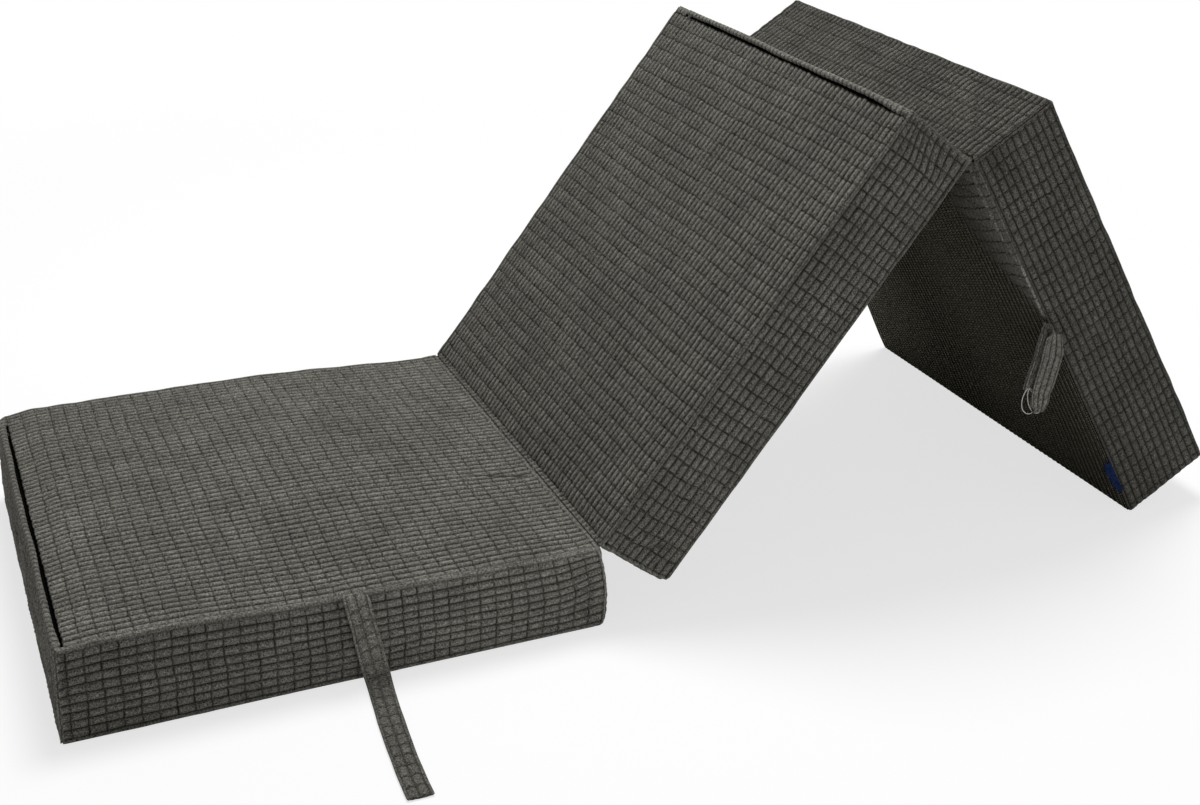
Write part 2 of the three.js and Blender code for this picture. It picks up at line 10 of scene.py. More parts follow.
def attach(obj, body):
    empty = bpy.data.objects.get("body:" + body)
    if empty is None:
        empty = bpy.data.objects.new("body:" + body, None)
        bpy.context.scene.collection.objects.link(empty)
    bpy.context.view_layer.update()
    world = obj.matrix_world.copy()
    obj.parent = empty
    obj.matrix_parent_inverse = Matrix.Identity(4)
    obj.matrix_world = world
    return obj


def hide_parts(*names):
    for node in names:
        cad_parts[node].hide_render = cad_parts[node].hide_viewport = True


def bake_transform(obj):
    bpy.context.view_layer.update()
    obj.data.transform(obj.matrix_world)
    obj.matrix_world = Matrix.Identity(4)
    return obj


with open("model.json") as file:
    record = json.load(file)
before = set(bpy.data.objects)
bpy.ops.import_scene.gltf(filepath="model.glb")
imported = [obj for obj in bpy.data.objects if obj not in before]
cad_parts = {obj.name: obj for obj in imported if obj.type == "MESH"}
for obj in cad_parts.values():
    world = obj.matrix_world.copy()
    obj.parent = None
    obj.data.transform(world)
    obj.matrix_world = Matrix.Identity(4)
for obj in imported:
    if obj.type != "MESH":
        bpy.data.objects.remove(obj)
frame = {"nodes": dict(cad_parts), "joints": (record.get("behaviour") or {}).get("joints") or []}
bpy.ops.object.select_all(action="DESELECT")
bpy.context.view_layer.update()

# Section sizes, in metres.
SECTION_LENGTH = 0.650
SECTION_WIDTH = 0.650
LEFT_HEIGHT = 0.115
MIDDLE_HEIGHT = 0.118
RIGHT_HEIGHT = 0.130
EDGE_RADIUS = 0.006
FOLD_HALF_GAP = 0.003
CLOSE_HALF_GAP = 0.0008
CROWN_HEIGHTS = {"left": 0.004, "middle": 0.001, "right": 0.004}
CROWN_MARGIN = 0.022
SIDE_BULGE = 0.0025
SIDE_DRAW_IN = -0.0005
END_FADE_POWER = 4
FOLD_EDGE_RADIUS = 0.003
FOLD_EDGE_NEAR = 0.012
FOLD_EDGE_FAR = 0.026
MIDDLE_HEEL_RADIUS = 0.017
MIDDLE_HEEL_BULGE = 0.005
MIDDLE_HEEL_REACH = 0.10
MIDDLE_HEEL_POWER = 1.5
END_SHARE = 0.04
LEFT_HEEL_RADIUS = 0.017
LEFT_BACK_RADIUS = 0.030
LEFT_SPLAY = 0.006
LEFT_SPLAY_REACH = (0.2, 0)
LEFT_CORNER_REACH = (0.3, 0)
LEFT_HEEL_SPLAY = 0.012
LEFT_HEEL_START = 0.45
LEFT_HEEL_LOW = 0.75
LEFT_ZIP_LIFT = 0.008
RIGHT_ZIP_LIFT = 0.005
ZIP_CLEARANCE = 0.002
LEFT_FRONT_LIFT = 0.011
LEFT_STRAP_LIFT = 0.004
LEFT_BACK_LIFT = 0.013
LEFT_SWELL_END = 0.055
LEFT_STRAP_FALL = (0.12, 0.31)
LEFT_BACK_RISE = (0.02, 0.30)
LEFT_FOLD_FALL = (0.64, 0.34)
RIGHT_RIDGE_DROP = 0.004
RIGHT_RIDGE_REACH = 0.003
RIGHT_RIDGE_NEAR = 0.06
RIGHT_ZIP_RISE = (0.30, 0.60)
RIGHT_RIDGE_FALL = (0.40, 0.05)
RIGHT_FOOT_SAG = 0.009
RIGHT_FOOT_FRONT = 0.35
RIGHT_FOOT_START = 0.50

# The ribbed plush: each rib is crossed by short grooves that part it into cells.
CELL_LENGTH = 0.0194
RIB_PITCH = 0.0109
ROW_PITCH = 0.0104

# Its grooves on the panels and on the long bands: their depth, the cross grooves' depth and reach, the
# strength and sharpness of the painted shade in the grooves, and the strength of the painted shade in the
# cross grooves.
Weave = namedtuple("Weave", "groove cross_depth cross_reach tone sharpness cross_tone")
WEAVE = Weave(0.0037, 0.0020, 0.0009, 0.87, 1.9, 1)
BAND_WEAVE = Weave(0.0028, 0.0029, 0.0011, 0.92, 2.8, 0.95)

# On the right section the cells stand looser, the grooves get less painted shade and the bare strips beside
# its seams get more.
RIGHT_STAGGER = 1.6
RIGHT_TONE = 0.93
RIGHT_CROSS_TONE = 0.85
RIGHT_BARE_TONE = 0.40
CROSS_POWER = 3
CELL_ROUND_POWER = 2.3
RIB_ROUND_POWER = 2.4
CELL_BOW = 0.0010
# Crease depth at which a crease is painted fully into shade.
CREASE_FULL_SHADE = 0.0032
CELL_JITTER = 0.0007
CELL_HEIGHT_JITTER = 0.0003
CROSS_UNEVEN = 0.22
# Painted shade on the bare strips beside seams, where the cell pattern fades out.
BARE_TONE = 0.1
PILE_ROUGHNESS = 0.00022
BASE_ROW_DEPTH = 0.0011
NAP_SWING = 0.07
# Painted highlight along the ridge of the seam piping.
PIPING_HIGHLIGHT = 0.45
NAP_LATTICE = (14, 14)
SWAY = 0.0016
SWAY_LATTICE = (7, 7)
SETTLE = 0.0008
SETTLE_LATTICE = (12, 12)
PUCKER = 0.0007
PUCKER_LATTICE = (30, 30)
PUCKER_NEAR = 0.008
PUCKER_FAR = 0.026
CELL_LINE_SHARES = (0, 0.042, 0.105, 0.5, 0.895, 0.958)
RIB_LINE_SHARES = (0, 0.075, 0.22, 0.5, 0.78, 0.925)
SEAM_MARGIN = 0.006
SEAM_LINE_SHARES = (0, 0.15, 0.35, 0.6, 0.8)
SEAM_VALLEY = 0.0016
SEAM_VALLEY_REACH = 0.0010
SEAM_RIDGE = 0.0009
SEAM_RIDGE_PLACE = 0.0027
SEAM_RIDGE_REACH = 0.0013
PATTERN_START = 0.0020
PATTERN_END = 0.0048
SOFT_PATTERN_START = 0.0030
SOFT_PATTERN_END = 0.0085

# The zip at each section's outer end, behind a standing lip.
LIP_WIDTH = 0.007
LIP_HEIGHT = 0.003
LIP_DEPTH = 0.009
CHANNEL_WIDTH = 0.0048
CHANNEL_WALL = 0.0004
CHANNEL_FRONT = 0.0050
RIDGE_CHANNEL_FRONT = 0.0100
CHANNEL_BACK = 0.038
CHANNEL_DEPTH = 0.0031
CHANNEL_SHOULDER = 0.0018
CHANNEL_END_REACH = 0.002
LIP_CLOSING = {"left": (0.0028, 0.0028), "middle": (0.0036, 0), "right": (0.0028, 0.0028)}
COIL_WIDTH = 0.0026
COIL_HEIGHT = 0.0012
COIL_PITCH = 0.0016
COIL_LIFT = 0.0004

# The front band's cloth is drawn round onto the right section's underside beside the ridge.
WRAP_WIDTH = 0.112
WRAP_FULL = 0.115
WRAP_END = 0.285
WRAP_POWER = 0.75
WRAP_SLANT = 0.36
WELT_HEIGHT = 0.0018
WELT_REACH = 0.0026
WELT_INSET = 0.020
WELT_TURN = 0.195

# Simulated softness of the covers.
CLOTH_SPACING = 0.017
CLOTH_FRAMES = 20
CLOTH_SEAM_PIN = 0.9
CLOTH_SETTINGS = {
    "quality": 6, "mass": 0.3, "tension_stiffness": 25, "compression_stiffness": 25, "shear_stiffness": 8,
    "bending_stiffness": 0.6, "use_pressure": True, "uniform_pressure_force": 3.0, "shrink_min": -0.006,
    "vertex_group_mass": "seams",
}
SOFT_LIMIT = 0.0016
SOFT_AT_SEAM = 0.15
SOFT_REACH = 0.060

# The strips that bridge the two folds.
FOLD_STRIP_REACH = 0.0075
FOLD_STRIP_THICKNESS = 0.0014

# The two tie straps.
STRAP_WIDTH = 0.033
STRAP_THICKNESS = 0.004
STRAP_COLUMNS = ((0, 0.10, 0.48, 0.86, 1), (0, 1, 1, 0.4), 0.7, 0.9)
BUNDLE_COLUMNS = ((0, 0.07, 0.35, 0.64, 0.92, 1), (0, 1, 1, 1, 0), 0.95, 0.5)
STRAP_FLOOR_SHARE = 0.94
STRAP_CUP = 0.0012
STRAP_EDGE_POWER = 7
STRAP_CELL_BOW = 0.17
STRAP_CELL_JITTER = 0.2
STRAP_STEP = 0.0011
STRAP_STAND_OFF = 0.0012
STRAP_PLACE = 0.340
STRAP_SIDE_DRIFT = 0.021
STRAP_FLOOR_REACH = 0.2447
STRAP_FLOOR_DRIFT = 0.022
STRAP_BEND_RADIUS = 0.018
STRAP_CLEARANCE = 0.0003
STRAP_GROOVE = 0.0009
BUNDLE_PLACE = 0.282
BUNDLE_DROP = 0.116
BUNDLE_STANDOFF = 0.0045
BUNDLE_ROOT_WIDTH = 0.024
BUNDLE_SPREAD_DROP = 0.034
BUNDLE_BACK_DROP = 0.082
BUNDLE_FAN = 0.0045
BUNDLE_DROPS = (0, 0.035, 0.070, 0.087, 0.112)
BUNDLE_CENTRES = (-0.005, -0.004, -0.011, -0.0145, -0.0135)
BUNDLE_NARROWINGS = ((0.12, 0.070, 0.100), (0.42, 0.098, BUNDLE_DROP))
BUNDLE_TOP_TURN = 0.004
BUNDLE_TAIL_DROP = 0.028
BUNDLE_END_SHIFT = 0.006
LAYER_GAP = 0.0006
NYLON_RADIUS = 0.0006
NYLON_SHIFT = -0.005
NYLON_OUTLINES = (
    (
        (-0.026, -0.078), (-0.031, -0.086), (-0.0335, -0.095), (-0.0325, -0.106), (-0.027, -0.1145),
        (-0.0195, -0.118), (-0.0115, -0.116), (-0.012, -0.100), (-0.019, -0.084),
    ),
    (
        (-0.024, -0.078), (-0.0255, -0.088), (-0.0235, -0.099), (-0.019, -0.109), (-0.0125, -0.117),
        (-0.005, -0.1195), (0.001, -0.115), (-0.004, -0.100), (-0.014, -0.086),
    ),
)

# The bare side label on the right section.
LABEL_LENGTH = 0.060
LABEL_DROP = 0.011
LABEL_THICKNESS = 0.001
LABEL_PLACE = 0.575

# The camera, from a fit to the corners of the three sections.
CAMERA_PLACE = (-0.4005, -2.0092, 1.1564)
CAMERA_YAW = math.radians(23.232)
CAMERA_PITCH = math.radians(24.748)
CAMERA_ROLL = math.radians(0.61)
CAMERA_LENS = 51.24
SENSOR_WIDTH = 36

# Colours as linear values, and the pile's noise as features to the metre with its swing.
PLUSH_COLOUR = (0.232, 0.2255, 0.1995)
# Painted shade: the colour that grooves, creases, seam valleys and fold furrows are darkened towards.
PAINTED_SHADE_COLOUR = (0.004, 0.0039, 0.003)
FIBRE_SCALE = 640
FIBRE_SWING = 1.25
CLUMP_SCALE = 330
CLUMP_SWING = 0.45
PATCH_SCALE = 16
PATCH_SWING = 0.20

# The share of the layout's square to each metre of flat cloth.
UV_SCALE = 0.6
WORLD_LIGHT = 0.24

# The floor's tone for light and for the eye, its own glow, and where it fades to white.
FLOOR_TONES = (0.80, 0.34)
FLOOR_GLOW = 0.70
FLOOR_FADE = (1.1, 2.6)

# The sine and the cosine of half a right angle.
HALF_ROOT = math.sqrt(0.5)

# Placement of the three sections, from the frame's two folds.
joints = {joint["name"]: joint for joint in frame["joints"]}
FOLD_ONE = Vector(joints["fold_one"]["pos_m"])
FOLD_TWO = Vector(joints["fold_two"]["pos_m"])
LEAN = -math.radians(joints["fold_one"]["range_deg"][0])
BEND = -math.radians(joints["fold_two"]["range_deg"][0])

# A section: its height, where its block begins and ends, its folds as (x, z), whether its zip is at the far
# end and whether that end is free, its place in the row, the seed of its random draws, how strong its seams
# show, its creases on each face (start, end, depth and reach in millimetres), the pulls of its pattern (start
# x, end x, axis, reach), and how light each face is painted at both ends of its grid and on the lip, partly
# for the lie of the nap and partly as painted light and shade.
Section = namedtuple(
    "Section", "name height low high folds zip_high free_end place seed seams creases pulls naps"
)


def seam_strengths(**pairs):
    """Strengths by pairs of faces, written as first__second."""
    return {frozenset(name.split("__")): strength for name, strength in pairs.items()}


LEFT = Section(
    "left", LEFT_HEIGHT, 0, SECTION_LENGTH - CLOSE_HALF_GAP,
    ((SECTION_LENGTH - CLOSE_HALF_GAP, LEFT_HEIGHT),), False, True,
    Matrix.Translation((-SECTION_LENGTH / 2, -SECTION_WIDTH / 2, 0)), 3,
    seam_strengths(top__high_end=0, top__front=0.1, front__low_end=1.5, front__high_end=1.2, top__back=0.4),
    {
        "top": (
            (556, 239, 646, 212, 5, 2.6), (300, 100, 420, 135, 0.8, 6),
            (20, 300, 60, 470, 0.8, 6),
        ),
        "front": (
            (606, 12, 615, 104, 1.2, 3), (622, 10, 629, 106, 1.4, 2.8),
            (590, 30, 600, 90, 0.6, 4), (637, 14, 640, 100, 1.2, 2.2),
        ),
    },
    {"front": ((0.585, 0.647, 2, 0.009),)},
    # Painted light: the front band is painted darker at its zip end and lighter at its fold end, where it is
    # lit more; the other values are partly nap and partly painted light.
    {"front": (0.67, 1.26), "low_end": (0.88, 0.88), "top": (0.99, 0.99), "lip": 0.84},
)
MIDDLE = Section(
    "middle", MIDDLE_HEIGHT, CLOSE_HALF_GAP, SECTION_LENGTH - FOLD_HALF_GAP,
    ((CLOSE_HALF_GAP, MIDDLE_HEIGHT), (SECTION_LENGTH - FOLD_HALF_GAP, 0)), True, False,
    Matrix.Translation((FOLD_ONE.x, -SECTION_WIDTH / 2, FOLD_ONE.z))
    @ Matrix.Rotation(-LEAN, 4, "Y")
    @ Matrix.Translation((0, 0, -MIDDLE_HEIGHT)), 5,
    seam_strengths(top__low_end=0, base__high_end=0, top__front=0.4, front__low_end=1.2, front__high_end=1.5),
    {
        "front": (
            (10, 100, 60, 60, 1.2, 4), (12, 70, 50, 30, 1.4, 3.5),
            (30, 12, 45, 70, 1.2, 3.5), (12, 40, 26, 12, 1.4, 3),
            (70, 4, 76, 40, 1, 3.5), (100, 4, 104, 30, 0.8, 4),
            (600, 110, 640, 70, 1, 4), (585, 114, 600, 85, 0.8, 4.5),
        ),
        "top": (
            (560, 20, 632, 45, 0.9, 5), (10, 30, 50, 50, 0.9, 5),
            (250, 180, 330, 330, 0.6, 9),
        ),
        "low_end": ((30, 10, 60, 60, 1.5, 4), (70, 50, 60, 120, 1.5, 4)),
    },
    {"front": ((0.590, 0.650, 2, 0.016), (0.060, 0.003, 2, 0.004))},
    # Partly nap and partly painted light; the lip is painted lighter.
    {"front": (0.90, 0.88), "top": (0.87, 0.89), "lip": 1.12},
)
RIGHT = Section(
    "right", RIGHT_HEIGHT, FOLD_HALF_GAP, SECTION_LENGTH, ((FOLD_HALF_GAP, 0),), True, True,
    Matrix.Translation((FOLD_TWO.x, -SECTION_WIDTH / 2, FOLD_TWO.z))
    @ Matrix.Rotation(BEND - LEAN, 4, "Y"), 8,
    seam_strengths(base__low_end=0, front__low_end=1.1, top__front=0.7, base__front=0.3),
    {
        "low_end": (
            (20, 30, 120, 150, 1.2, 5), (10, 80, 90, 170, 1, 5),
            (60, 20, 126, 60, 1, 4),
        ),
        "front": ((10, 10, 50, 40, 1.2, 4), (8, 60, 30, 20, 1, 3.5)),
    },
    {},
    # Partly nap and partly painted shade: the front band and the low end are painted darker.
    {"front": (0.66, 0.61), "low_end": (0.62, 0.57), "base": (0.72, 0.72), "lip": 0.9},
)

# A face of a section: the axis it looks along and its side, the axes of its grid, the axes along and across
# its ribs, and where it lies in the cloth's layout.
Face = namedtuple("Face", "axis side grid ribs layout")
FACES = {
    "top": Face(2, 1, (0, 1), (0, 1), (0.0, 0.0)),
    "base": Face(2, 0, (1, 0), (0, 1), (0.67, 0.0)),
    "front": Face(1, 0, (0, 2), (0, 2), (0.0, 0.67)),
    "back": Face(1, 1, (2, 0), (0, 2), (0.0, 0.82)),
    "high_end": Face(0, 1, (1, 2), (2, 1), (0.67, 0.67)),
    "low_end": Face(0, 0, (2, 1), (2, 1), (0.67, 0.82)),
}


def unit(value):
    """The value, held between 0 and 1."""
    return np.clip(value, 0, 1)


def smooth_step(value, start, end):
    """Rises from 0 at start to 1 at end, without a corner."""
    share = unit((value - start) / (end - start))
    return share * share * (3 - 2 * share)


def arch(share):
    """Rises from 0 to 1 and falls back to 0 while the share goes from 0 to 1."""
    return np.sin(math.pi * share)


def from_rib(across):
    """0 on the middle of a rib, and 1 in the groove beside it, for a place counted in ribs."""
    return np.abs(2 * (across - np.floor(across)) - 1)


def hump(value, middle, reach):
    """A soft hump of height 1."""
    return np.exp(-(((value - middle) / reach) ** 2))


def cubic_weights(index, count):
    """Rows of weights that read a line of count values smoothly at fractional places."""
    base = np.clip(np.floor(index).astype(int), 0, count - 2)
    t = index - base
    shares = (
        (-t + 2 * t**2 - t**3) / 2,
        (2 - 5 * t**2 + 3 * t**3) / 2,
        (t + 4 * t**2 - 3 * t**3) / 2,
        (-(t**2) + t**3) / 2,
    )
    rows = np.zeros((len(index), count))
    for offset, share in zip((-1, 0, 1, 2), shares):
        np.add.at(rows, (np.arange(len(index)), np.clip(base + offset, 0, count - 1)), share)
    return rows


def smooth_field(random, lattice, places):
    """Random values from -1 to 1 on a coarse lattice, read smoothly at the places (0 to 1) of a grid."""
    values = random.uniform(-1, 1, lattice)
    rows, columns = (cubic_weights(place * (n - 1), n) for place, n in zip(places, lattice))
    return rows @ values @ columns.T


def rounded(points, low, high, radius):
    """Points on a block's faces, moved onto the same block with rounded edges."""
    inner = np.clip(points, low + radius, high - radius)
    out = points - inner
    return inner + out / np.linalg.norm(out, axis=-1, keepdims=True) * radius


def worn_edge(points, axes, places, inward, radius):
    """Rounds one straight edge with a larger radius; the edge crosses both axes at the places."""
    centre = np.array(places) + np.array(inward) * radius
    out = points[..., list(axes)] - centre
    outside = np.all(out * np.array(inward) < 0, axis=-1)
    length = np.maximum(np.linalg.norm(out, axis=-1), 1e-9)
    factor = np.where(outside, np.minimum(1, radius / length), 1)
    moved = points.copy()
    for number, axis in enumerate(axes):
        moved[..., axis] = centre[number] + out[..., number] * factor
    return moved


def splayed(points):
    """The left section sags: its ends spread at the floor, and its top swells behind the zip."""
    x, y, z = (points[..., axis] for axis in range(3))
    low = 1 - unit(z / LEFT_HEIGHT)
    moved = points.copy()
    moved[..., 0] += LEFT_HEEL_SPLAY * smooth_step(x, LEFT_HEEL_START, LEFT.high) * arch(LEFT_HEEL_LOW * low)
    moved[..., 0] -= LEFT_SPLAY * smooth_step(x, *LEFT_SPLAY_REACH) * low
    corner = smooth_step(x, *LEFT_CORNER_REACH) * smooth_step(y, *LEFT_SPLAY_REACH)
    moved[..., 1] -= LEFT_SPLAY / 2 * low * corner
    moved[..., 2] += left_lift(x, y) * (1 - low)
    return moved


def left_lift(x, y):
    """How much higher than its flat height the left section's top stands."""
    behind_zip = smooth_step(x, LIP_WIDTH + CHANNEL_WIDTH, LEFT_SWELL_END)
    front = LEFT_ZIP_LIFT + (LEFT_FRONT_LIFT - LEFT_ZIP_LIFT) * behind_zip
    front = front - (LEFT_FRONT_LIFT - LEFT_STRAP_LIFT) * smooth_step(x, *LEFT_STRAP_FALL)
    back = LEFT_ZIP_LIFT + (LEFT_BACK_LIFT - LEFT_ZIP_LIFT) * behind_zip
    rise = front + (back - front) * smooth_step(y, *LEFT_BACK_RISE)
    return rise * smooth_step(x, *LEFT_FOLD_FALL)


def tapered(points):
    """The right section is thinner at the ridge, thicker at its zip, and sags where it stands."""
    moved = points.copy()
    x = points[..., 0]
    change = RIGHT_ZIP_LIFT * smooth_step(x, *RIGHT_ZIP_RISE)
    change = change - RIGHT_RIDGE_DROP * smooth_step(x, *RIGHT_RIDGE_FALL)
    high = unit(points[..., 2] / RIGHT_HEIGHT)
    moved[..., 2] += change * high
    moved[..., 0] -= RIGHT_RIDGE_REACH * high * smooth_step(x, RIGHT_RIDGE_NEAR, 0)
    share_y = unit(points[..., 1] / SECTION_WIDTH)
    sag = RIGHT_FOOT_SAG * (RIGHT_FOOT_FRONT + (1 - RIGHT_FOOT_FRONT) * share_y)
    moved[..., 2] -= sag * smooth_step(x, RIGHT_FOOT_START, SECTION_LENGTH) * (1 - high)
    return moved


def soften(points, section):
    """The section's soft form: a crown on top, and sides that swell halfway up."""
    x, y, z = (points[..., axis] for axis in range(3))
    share_x, share_y, share_z = x / SECTION_LENGTH, y / SECTION_WIDTH, unit(z / section.height)

    def crown(value, length):
        return arch(unit((value - CROWN_MARGIN) / (length - 2 * CROWN_MARGIN)))

    swell = SIDE_BULGE * arch(share_z) - SIDE_DRAW_IN
    moved = points.copy()
    moved[..., 1] += (2 * share_y - 1) * swell * arch(share_x)
    if section.free_end:
        outward, place = (1, share_x) if section.zip_high else (-1, 1 - share_x)
        moved[..., 0] += outward * place**END_FADE_POWER * swell * arch(share_y)
    height = CROWN_HEIGHTS[section.name] * z / section.height
    moved[..., 2] += crown(x, SECTION_LENGTH) * crown(y, SECTION_WIDTH) * height
    return moved


def soft_form(points, section):
    """Points on the faces of a section's block, moved onto its soft form."""
    low, high = np.transpose(block_ends(section))
    moved = rounded(points, low, high, EDGE_RADIUS)
    tight = rounded(points, low, high, FOLD_EDGE_RADIUS)
    for fold_x, fold_z in section.folds:
        reach = np.hypot(points[..., 0] - fold_x, points[..., 2] - fold_z)
        near = smooth_step(reach, FOLD_EDGE_FAR, FOLD_EDGE_NEAR)[..., None]
        moved = moved + (tight - moved) * near
    if section is LEFT:
        moved = worn_edge(moved, (0, 2), (section.high, 0), (-1, 1), LEFT_HEEL_RADIUS)
        moved = worn_edge(moved, (0, 1), (section.low, SECTION_WIDTH), (1, -1), LEFT_BACK_RADIUS)
        moved = splayed(moved)
    if section is MIDDLE:
        moved = worn_edge(moved, (0, 2), (section.low, 0), (1, 1), MIDDLE_HEEL_RADIUS)
        x, y, z = (moved[..., axis] for axis in range(3))
        low = 1 - unit(z / MIDDLE_HEIGHT)
        bulge = MIDDLE_HEEL_BULGE * smooth_step(x, MIDDLE_HEEL_REACH, 0) * arch(low**MIDDLE_HEEL_POWER)
        moved[..., 0] -= bulge * arch(np.clip(y / SECTION_WIDTH, END_SHARE, 1 - END_SHARE)) ** 0.5
    if section is RIGHT:
        moved = tapered(moved)
    return soften(moved, section)


def block_ends(section):
    """Where a section's plain block begins and ends along X, Y and Z."""
    return (section.low, section.high), (0, SECTION_WIDTH), (0, section.height)


def edge_distances(points, section, face):
    """For each edge of a face: the name of the face beyond it, and how far each grid point is from it."""
    ends = block_ends(section)
    for axis in face.grid:
        for side in (0, 1):
            neighbour = next(name for name, other in FACES.items() if other[:2] == (axis, side))
            yield neighbour, np.abs(points[..., axis] - ends[axis][side])


def seam_lines(edge, towards, margin):
    """Grid lines that lie close together beside a seam."""
    return edge + towards * margin * np.array(SEAM_LINE_SHARES)


def zip_lines(edge, towards):
    """Grid lines across the zip's lip and channel, from a section's outer end inwards."""
    inner = LIP_WIDTH + CHANNEL_WIDTH
    stops = [0, 0.001, 0.0025, 0.0045, LIP_WIDTH, LIP_WIDTH + CHANNEL_WALL, inner - CHANNEL_WALL, inner]
    return edge + towards * np.array(stops)


def cell_lines(first, last, pitch, shares):
    """Grid lines from first to last, at the same shares of each cell, and the number of cells."""
    count = round((last - first) / pitch)
    cells = (np.arange(count)[:, None] + np.array(shares)).ravel() / count
    return first + np.append(cells, 1) * (last - first), count


Lines = namedtuple("Lines", "places cells count")


def axis_lines(low, high, pitch, shares, zip_side=0):
    """All grid lines along one axis, with their places in cells. zip_side is -1 or 1 at a zip end."""
    start = zip_lines(low, 1) if zip_side < 0 else seam_lines(low, 1, SEAM_MARGIN)
    end = zip_lines(high, -1) if zip_side > 0 else seam_lines(high, -1, SEAM_MARGIN)
    zip_margin = LIP_WIDTH + CHANNEL_WIDTH + CHANNEL_WALL
    first = low + (zip_margin if zip_side < 0 else SEAM_MARGIN)
    last = high - (zip_margin if zip_side > 0 else SEAM_MARGIN)
    cells, count = cell_lines(first, last, pitch, shares)
    places = np.concatenate([start, cells, end[::-1]])
    return Lines(places, (places - first) / (last - first) * count, count)


def fine_lines(section):
    """The grid lines of a section's finished cover, along X, Y and Z."""
    side = 1 if section.zip_high else -1
    return (
        axis_lines(section.low, section.high, CELL_LENGTH, CELL_LINE_SHARES, side),
        axis_lines(0, SECTION_WIDTH, RIB_PITCH, RIB_LINE_SHARES),
        axis_lines(0, section.height, ROW_PITCH, RIB_LINE_SHARES),
    )


def coarse_lines(section):
    """The grid lines of the cover while it is simulated."""
    lines = []
    for low, high in block_ends(section):
        count = round((high - low) / CLOTH_SPACING)
        inner = np.linspace(low + EDGE_RADIUS, high - EDGE_RADIUS, count)
        lines.append(Lines(np.concatenate([[low], inner, [high]]), None, count))
    return lines


def face_grid(lines, face):
    """One face's points on the plain block and the numbers of its grid lines along X, Y and Z."""
    counts = [len(line.places) for line in lines]
    numbers = [None, None, None]
    u, v = face.grid
    numbers[u], numbers[v] = np.meshgrid(np.arange(counts[u]), np.arange(counts[v]), indexing="ij")
    numbers[face.axis] = np.full_like(numbers[u], face.side * (counts[face.axis] - 1))
    points = np.stack([line.places[number] for line, number in zip(lines, numbers)], axis=-1)
    return points, numbers


def grid_quads(rows, columns, start=0):
    """The quads of a grid of vertices, numbered row by row."""
    corner = start + (np.arange(rows - 1)[:, None] * columns + np.arange(columns - 1)).ravel()
    return np.stack([corner, corner + columns, corner + columns + 1, corner + 1], axis=1)


def welded(grids, lines):
    """The faces' grids as one closed mesh: each grid point's vertex, a grid point of each vertex, quads."""
    counts = [len(line.places) for line in lines]
    codes, quads, start = [], [], 0
    for points, numbers in grids:
        rows, columns = points.shape[:2]
        codes.append(((numbers[0] * counts[1] + numbers[1]) * counts[2] + numbers[2]).ravel())
        quads.append(grid_quads(rows, columns, start))
        start += rows * columns
    _, first, vertex = np.unique(np.concatenate(codes), return_index=True, return_inverse=True)
    return vertex, first, vertex[np.concatenate(quads)], np.concatenate(quads)


def vertex_normals(points, quads):
    """Unit normals at the vertices of a mesh of quads."""
    a, b, c, d = (points[quads[:, corner]] for corner in range(4))
    faces = np.cross(c - a, d - b)
    normals = np.stack([
        sum(np.bincount(quads[:, corner], faces[:, axis], len(points)) for corner in range(4))
        for axis in range(3)
    ], axis=1)
    return normals / np.maximum(np.linalg.norm(normals, axis=1, keepdims=True), 1e-12)


def set_all(made, settings):
    """Gives a modifier, a curve, a lamp or a node its settings."""
    for key, value in settings.items():
        setattr(made, key, value)


def linked(name, data):
    """A new object in the scene."""
    made = bpy.data.objects.new(name, data)
    bpy.context.scene.collection.objects.link(made)
    return made


def new_object(name, points, quads):
    """A mesh object at the origin, with its place in its mesh."""
    mesh = bpy.data.meshes.new(name)
    mesh.from_pydata(np.asarray(points).tolist(), [], [list(face) for face in quads])
    mesh.polygons.foreach_set("use_smooth", np.ones(len(mesh.polygons), bool))
    mesh.update()
    return linked(name, mesh)


def set_values(piece, **values):
    """Stores one number per vertex under each name."""
    for name, numbers in values.items():
        piece.data.attributes.new(name, "FLOAT", "POINT").data.foreach_set("value", numbers)


def placed(points, matrix):
    """Points of a section's own frame in the row frame."""
    turn = np.array(matrix)
    return points @ turn[:3, :3].T + turn[:3, 3]


def make_active(piece):
    bpy.ops.object.select_all(action="DESELECT")
    piece.select_set(True)
    bpy.context.view_layer.objects.active = piece


def apply_modifier(piece, kind, **settings):
    """Changes a piece's mesh by a modifier with these settings."""
    change = piece.modifiers.new("shape", kind)
    set_all(change, settings)
    make_active(piece)
    bpy.ops.object.modifier_apply(modifier=change.name)


def set_layout(piece, flat, corners):
    """Stores the places on the flat cloth, in metres, as the piece's layout."""
    layer = piece.data.uv_layers.new(name="cloth")
    layer.data.foreach_set("uv", (flat * UV_SCALE)[corners].ravel())


def dress(piece, body, slot, *nodes, materials=()):
    """Gives a piece its materials and the body it rides on, and hides the CAD nodes it stands for; slot is
    not used.
    """
    for material in materials:
        piece.data.materials.append(material)
    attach(piece, body)
    if nodes:
        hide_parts(*nodes)


def flat_cloth(name, grid, flat_lines, thickness, material, **values):
    """A piece of flat cloth, from its grid of points and the lines of that grid on the flat cloth."""
    quads = grid_quads(*grid.shape[:2])
    piece = new_object(name, grid.reshape(-1, 3), quads)
    set_values(piece, **values)
    set_layout(piece, np.stack(np.meshgrid(*flat_lines, indexing="ij"), -1).reshape(-1, 2), quads)
    apply_modifier(piece, "SOLIDIFY", thickness=thickness, offset=0)
    piece.data.materials.append(material)
    return piece


def face_outward(piece):
    """Turns every face of a closed piece outwards."""
    make_active(piece)
    bpy.ops.object.mode_set(mode="EDIT")
    bpy.ops.mesh.select_all(action="SELECT")
    bpy.ops.mesh.normals_make_consistent(inside=False)
    bpy.ops.object.mode_set(mode="OBJECT")


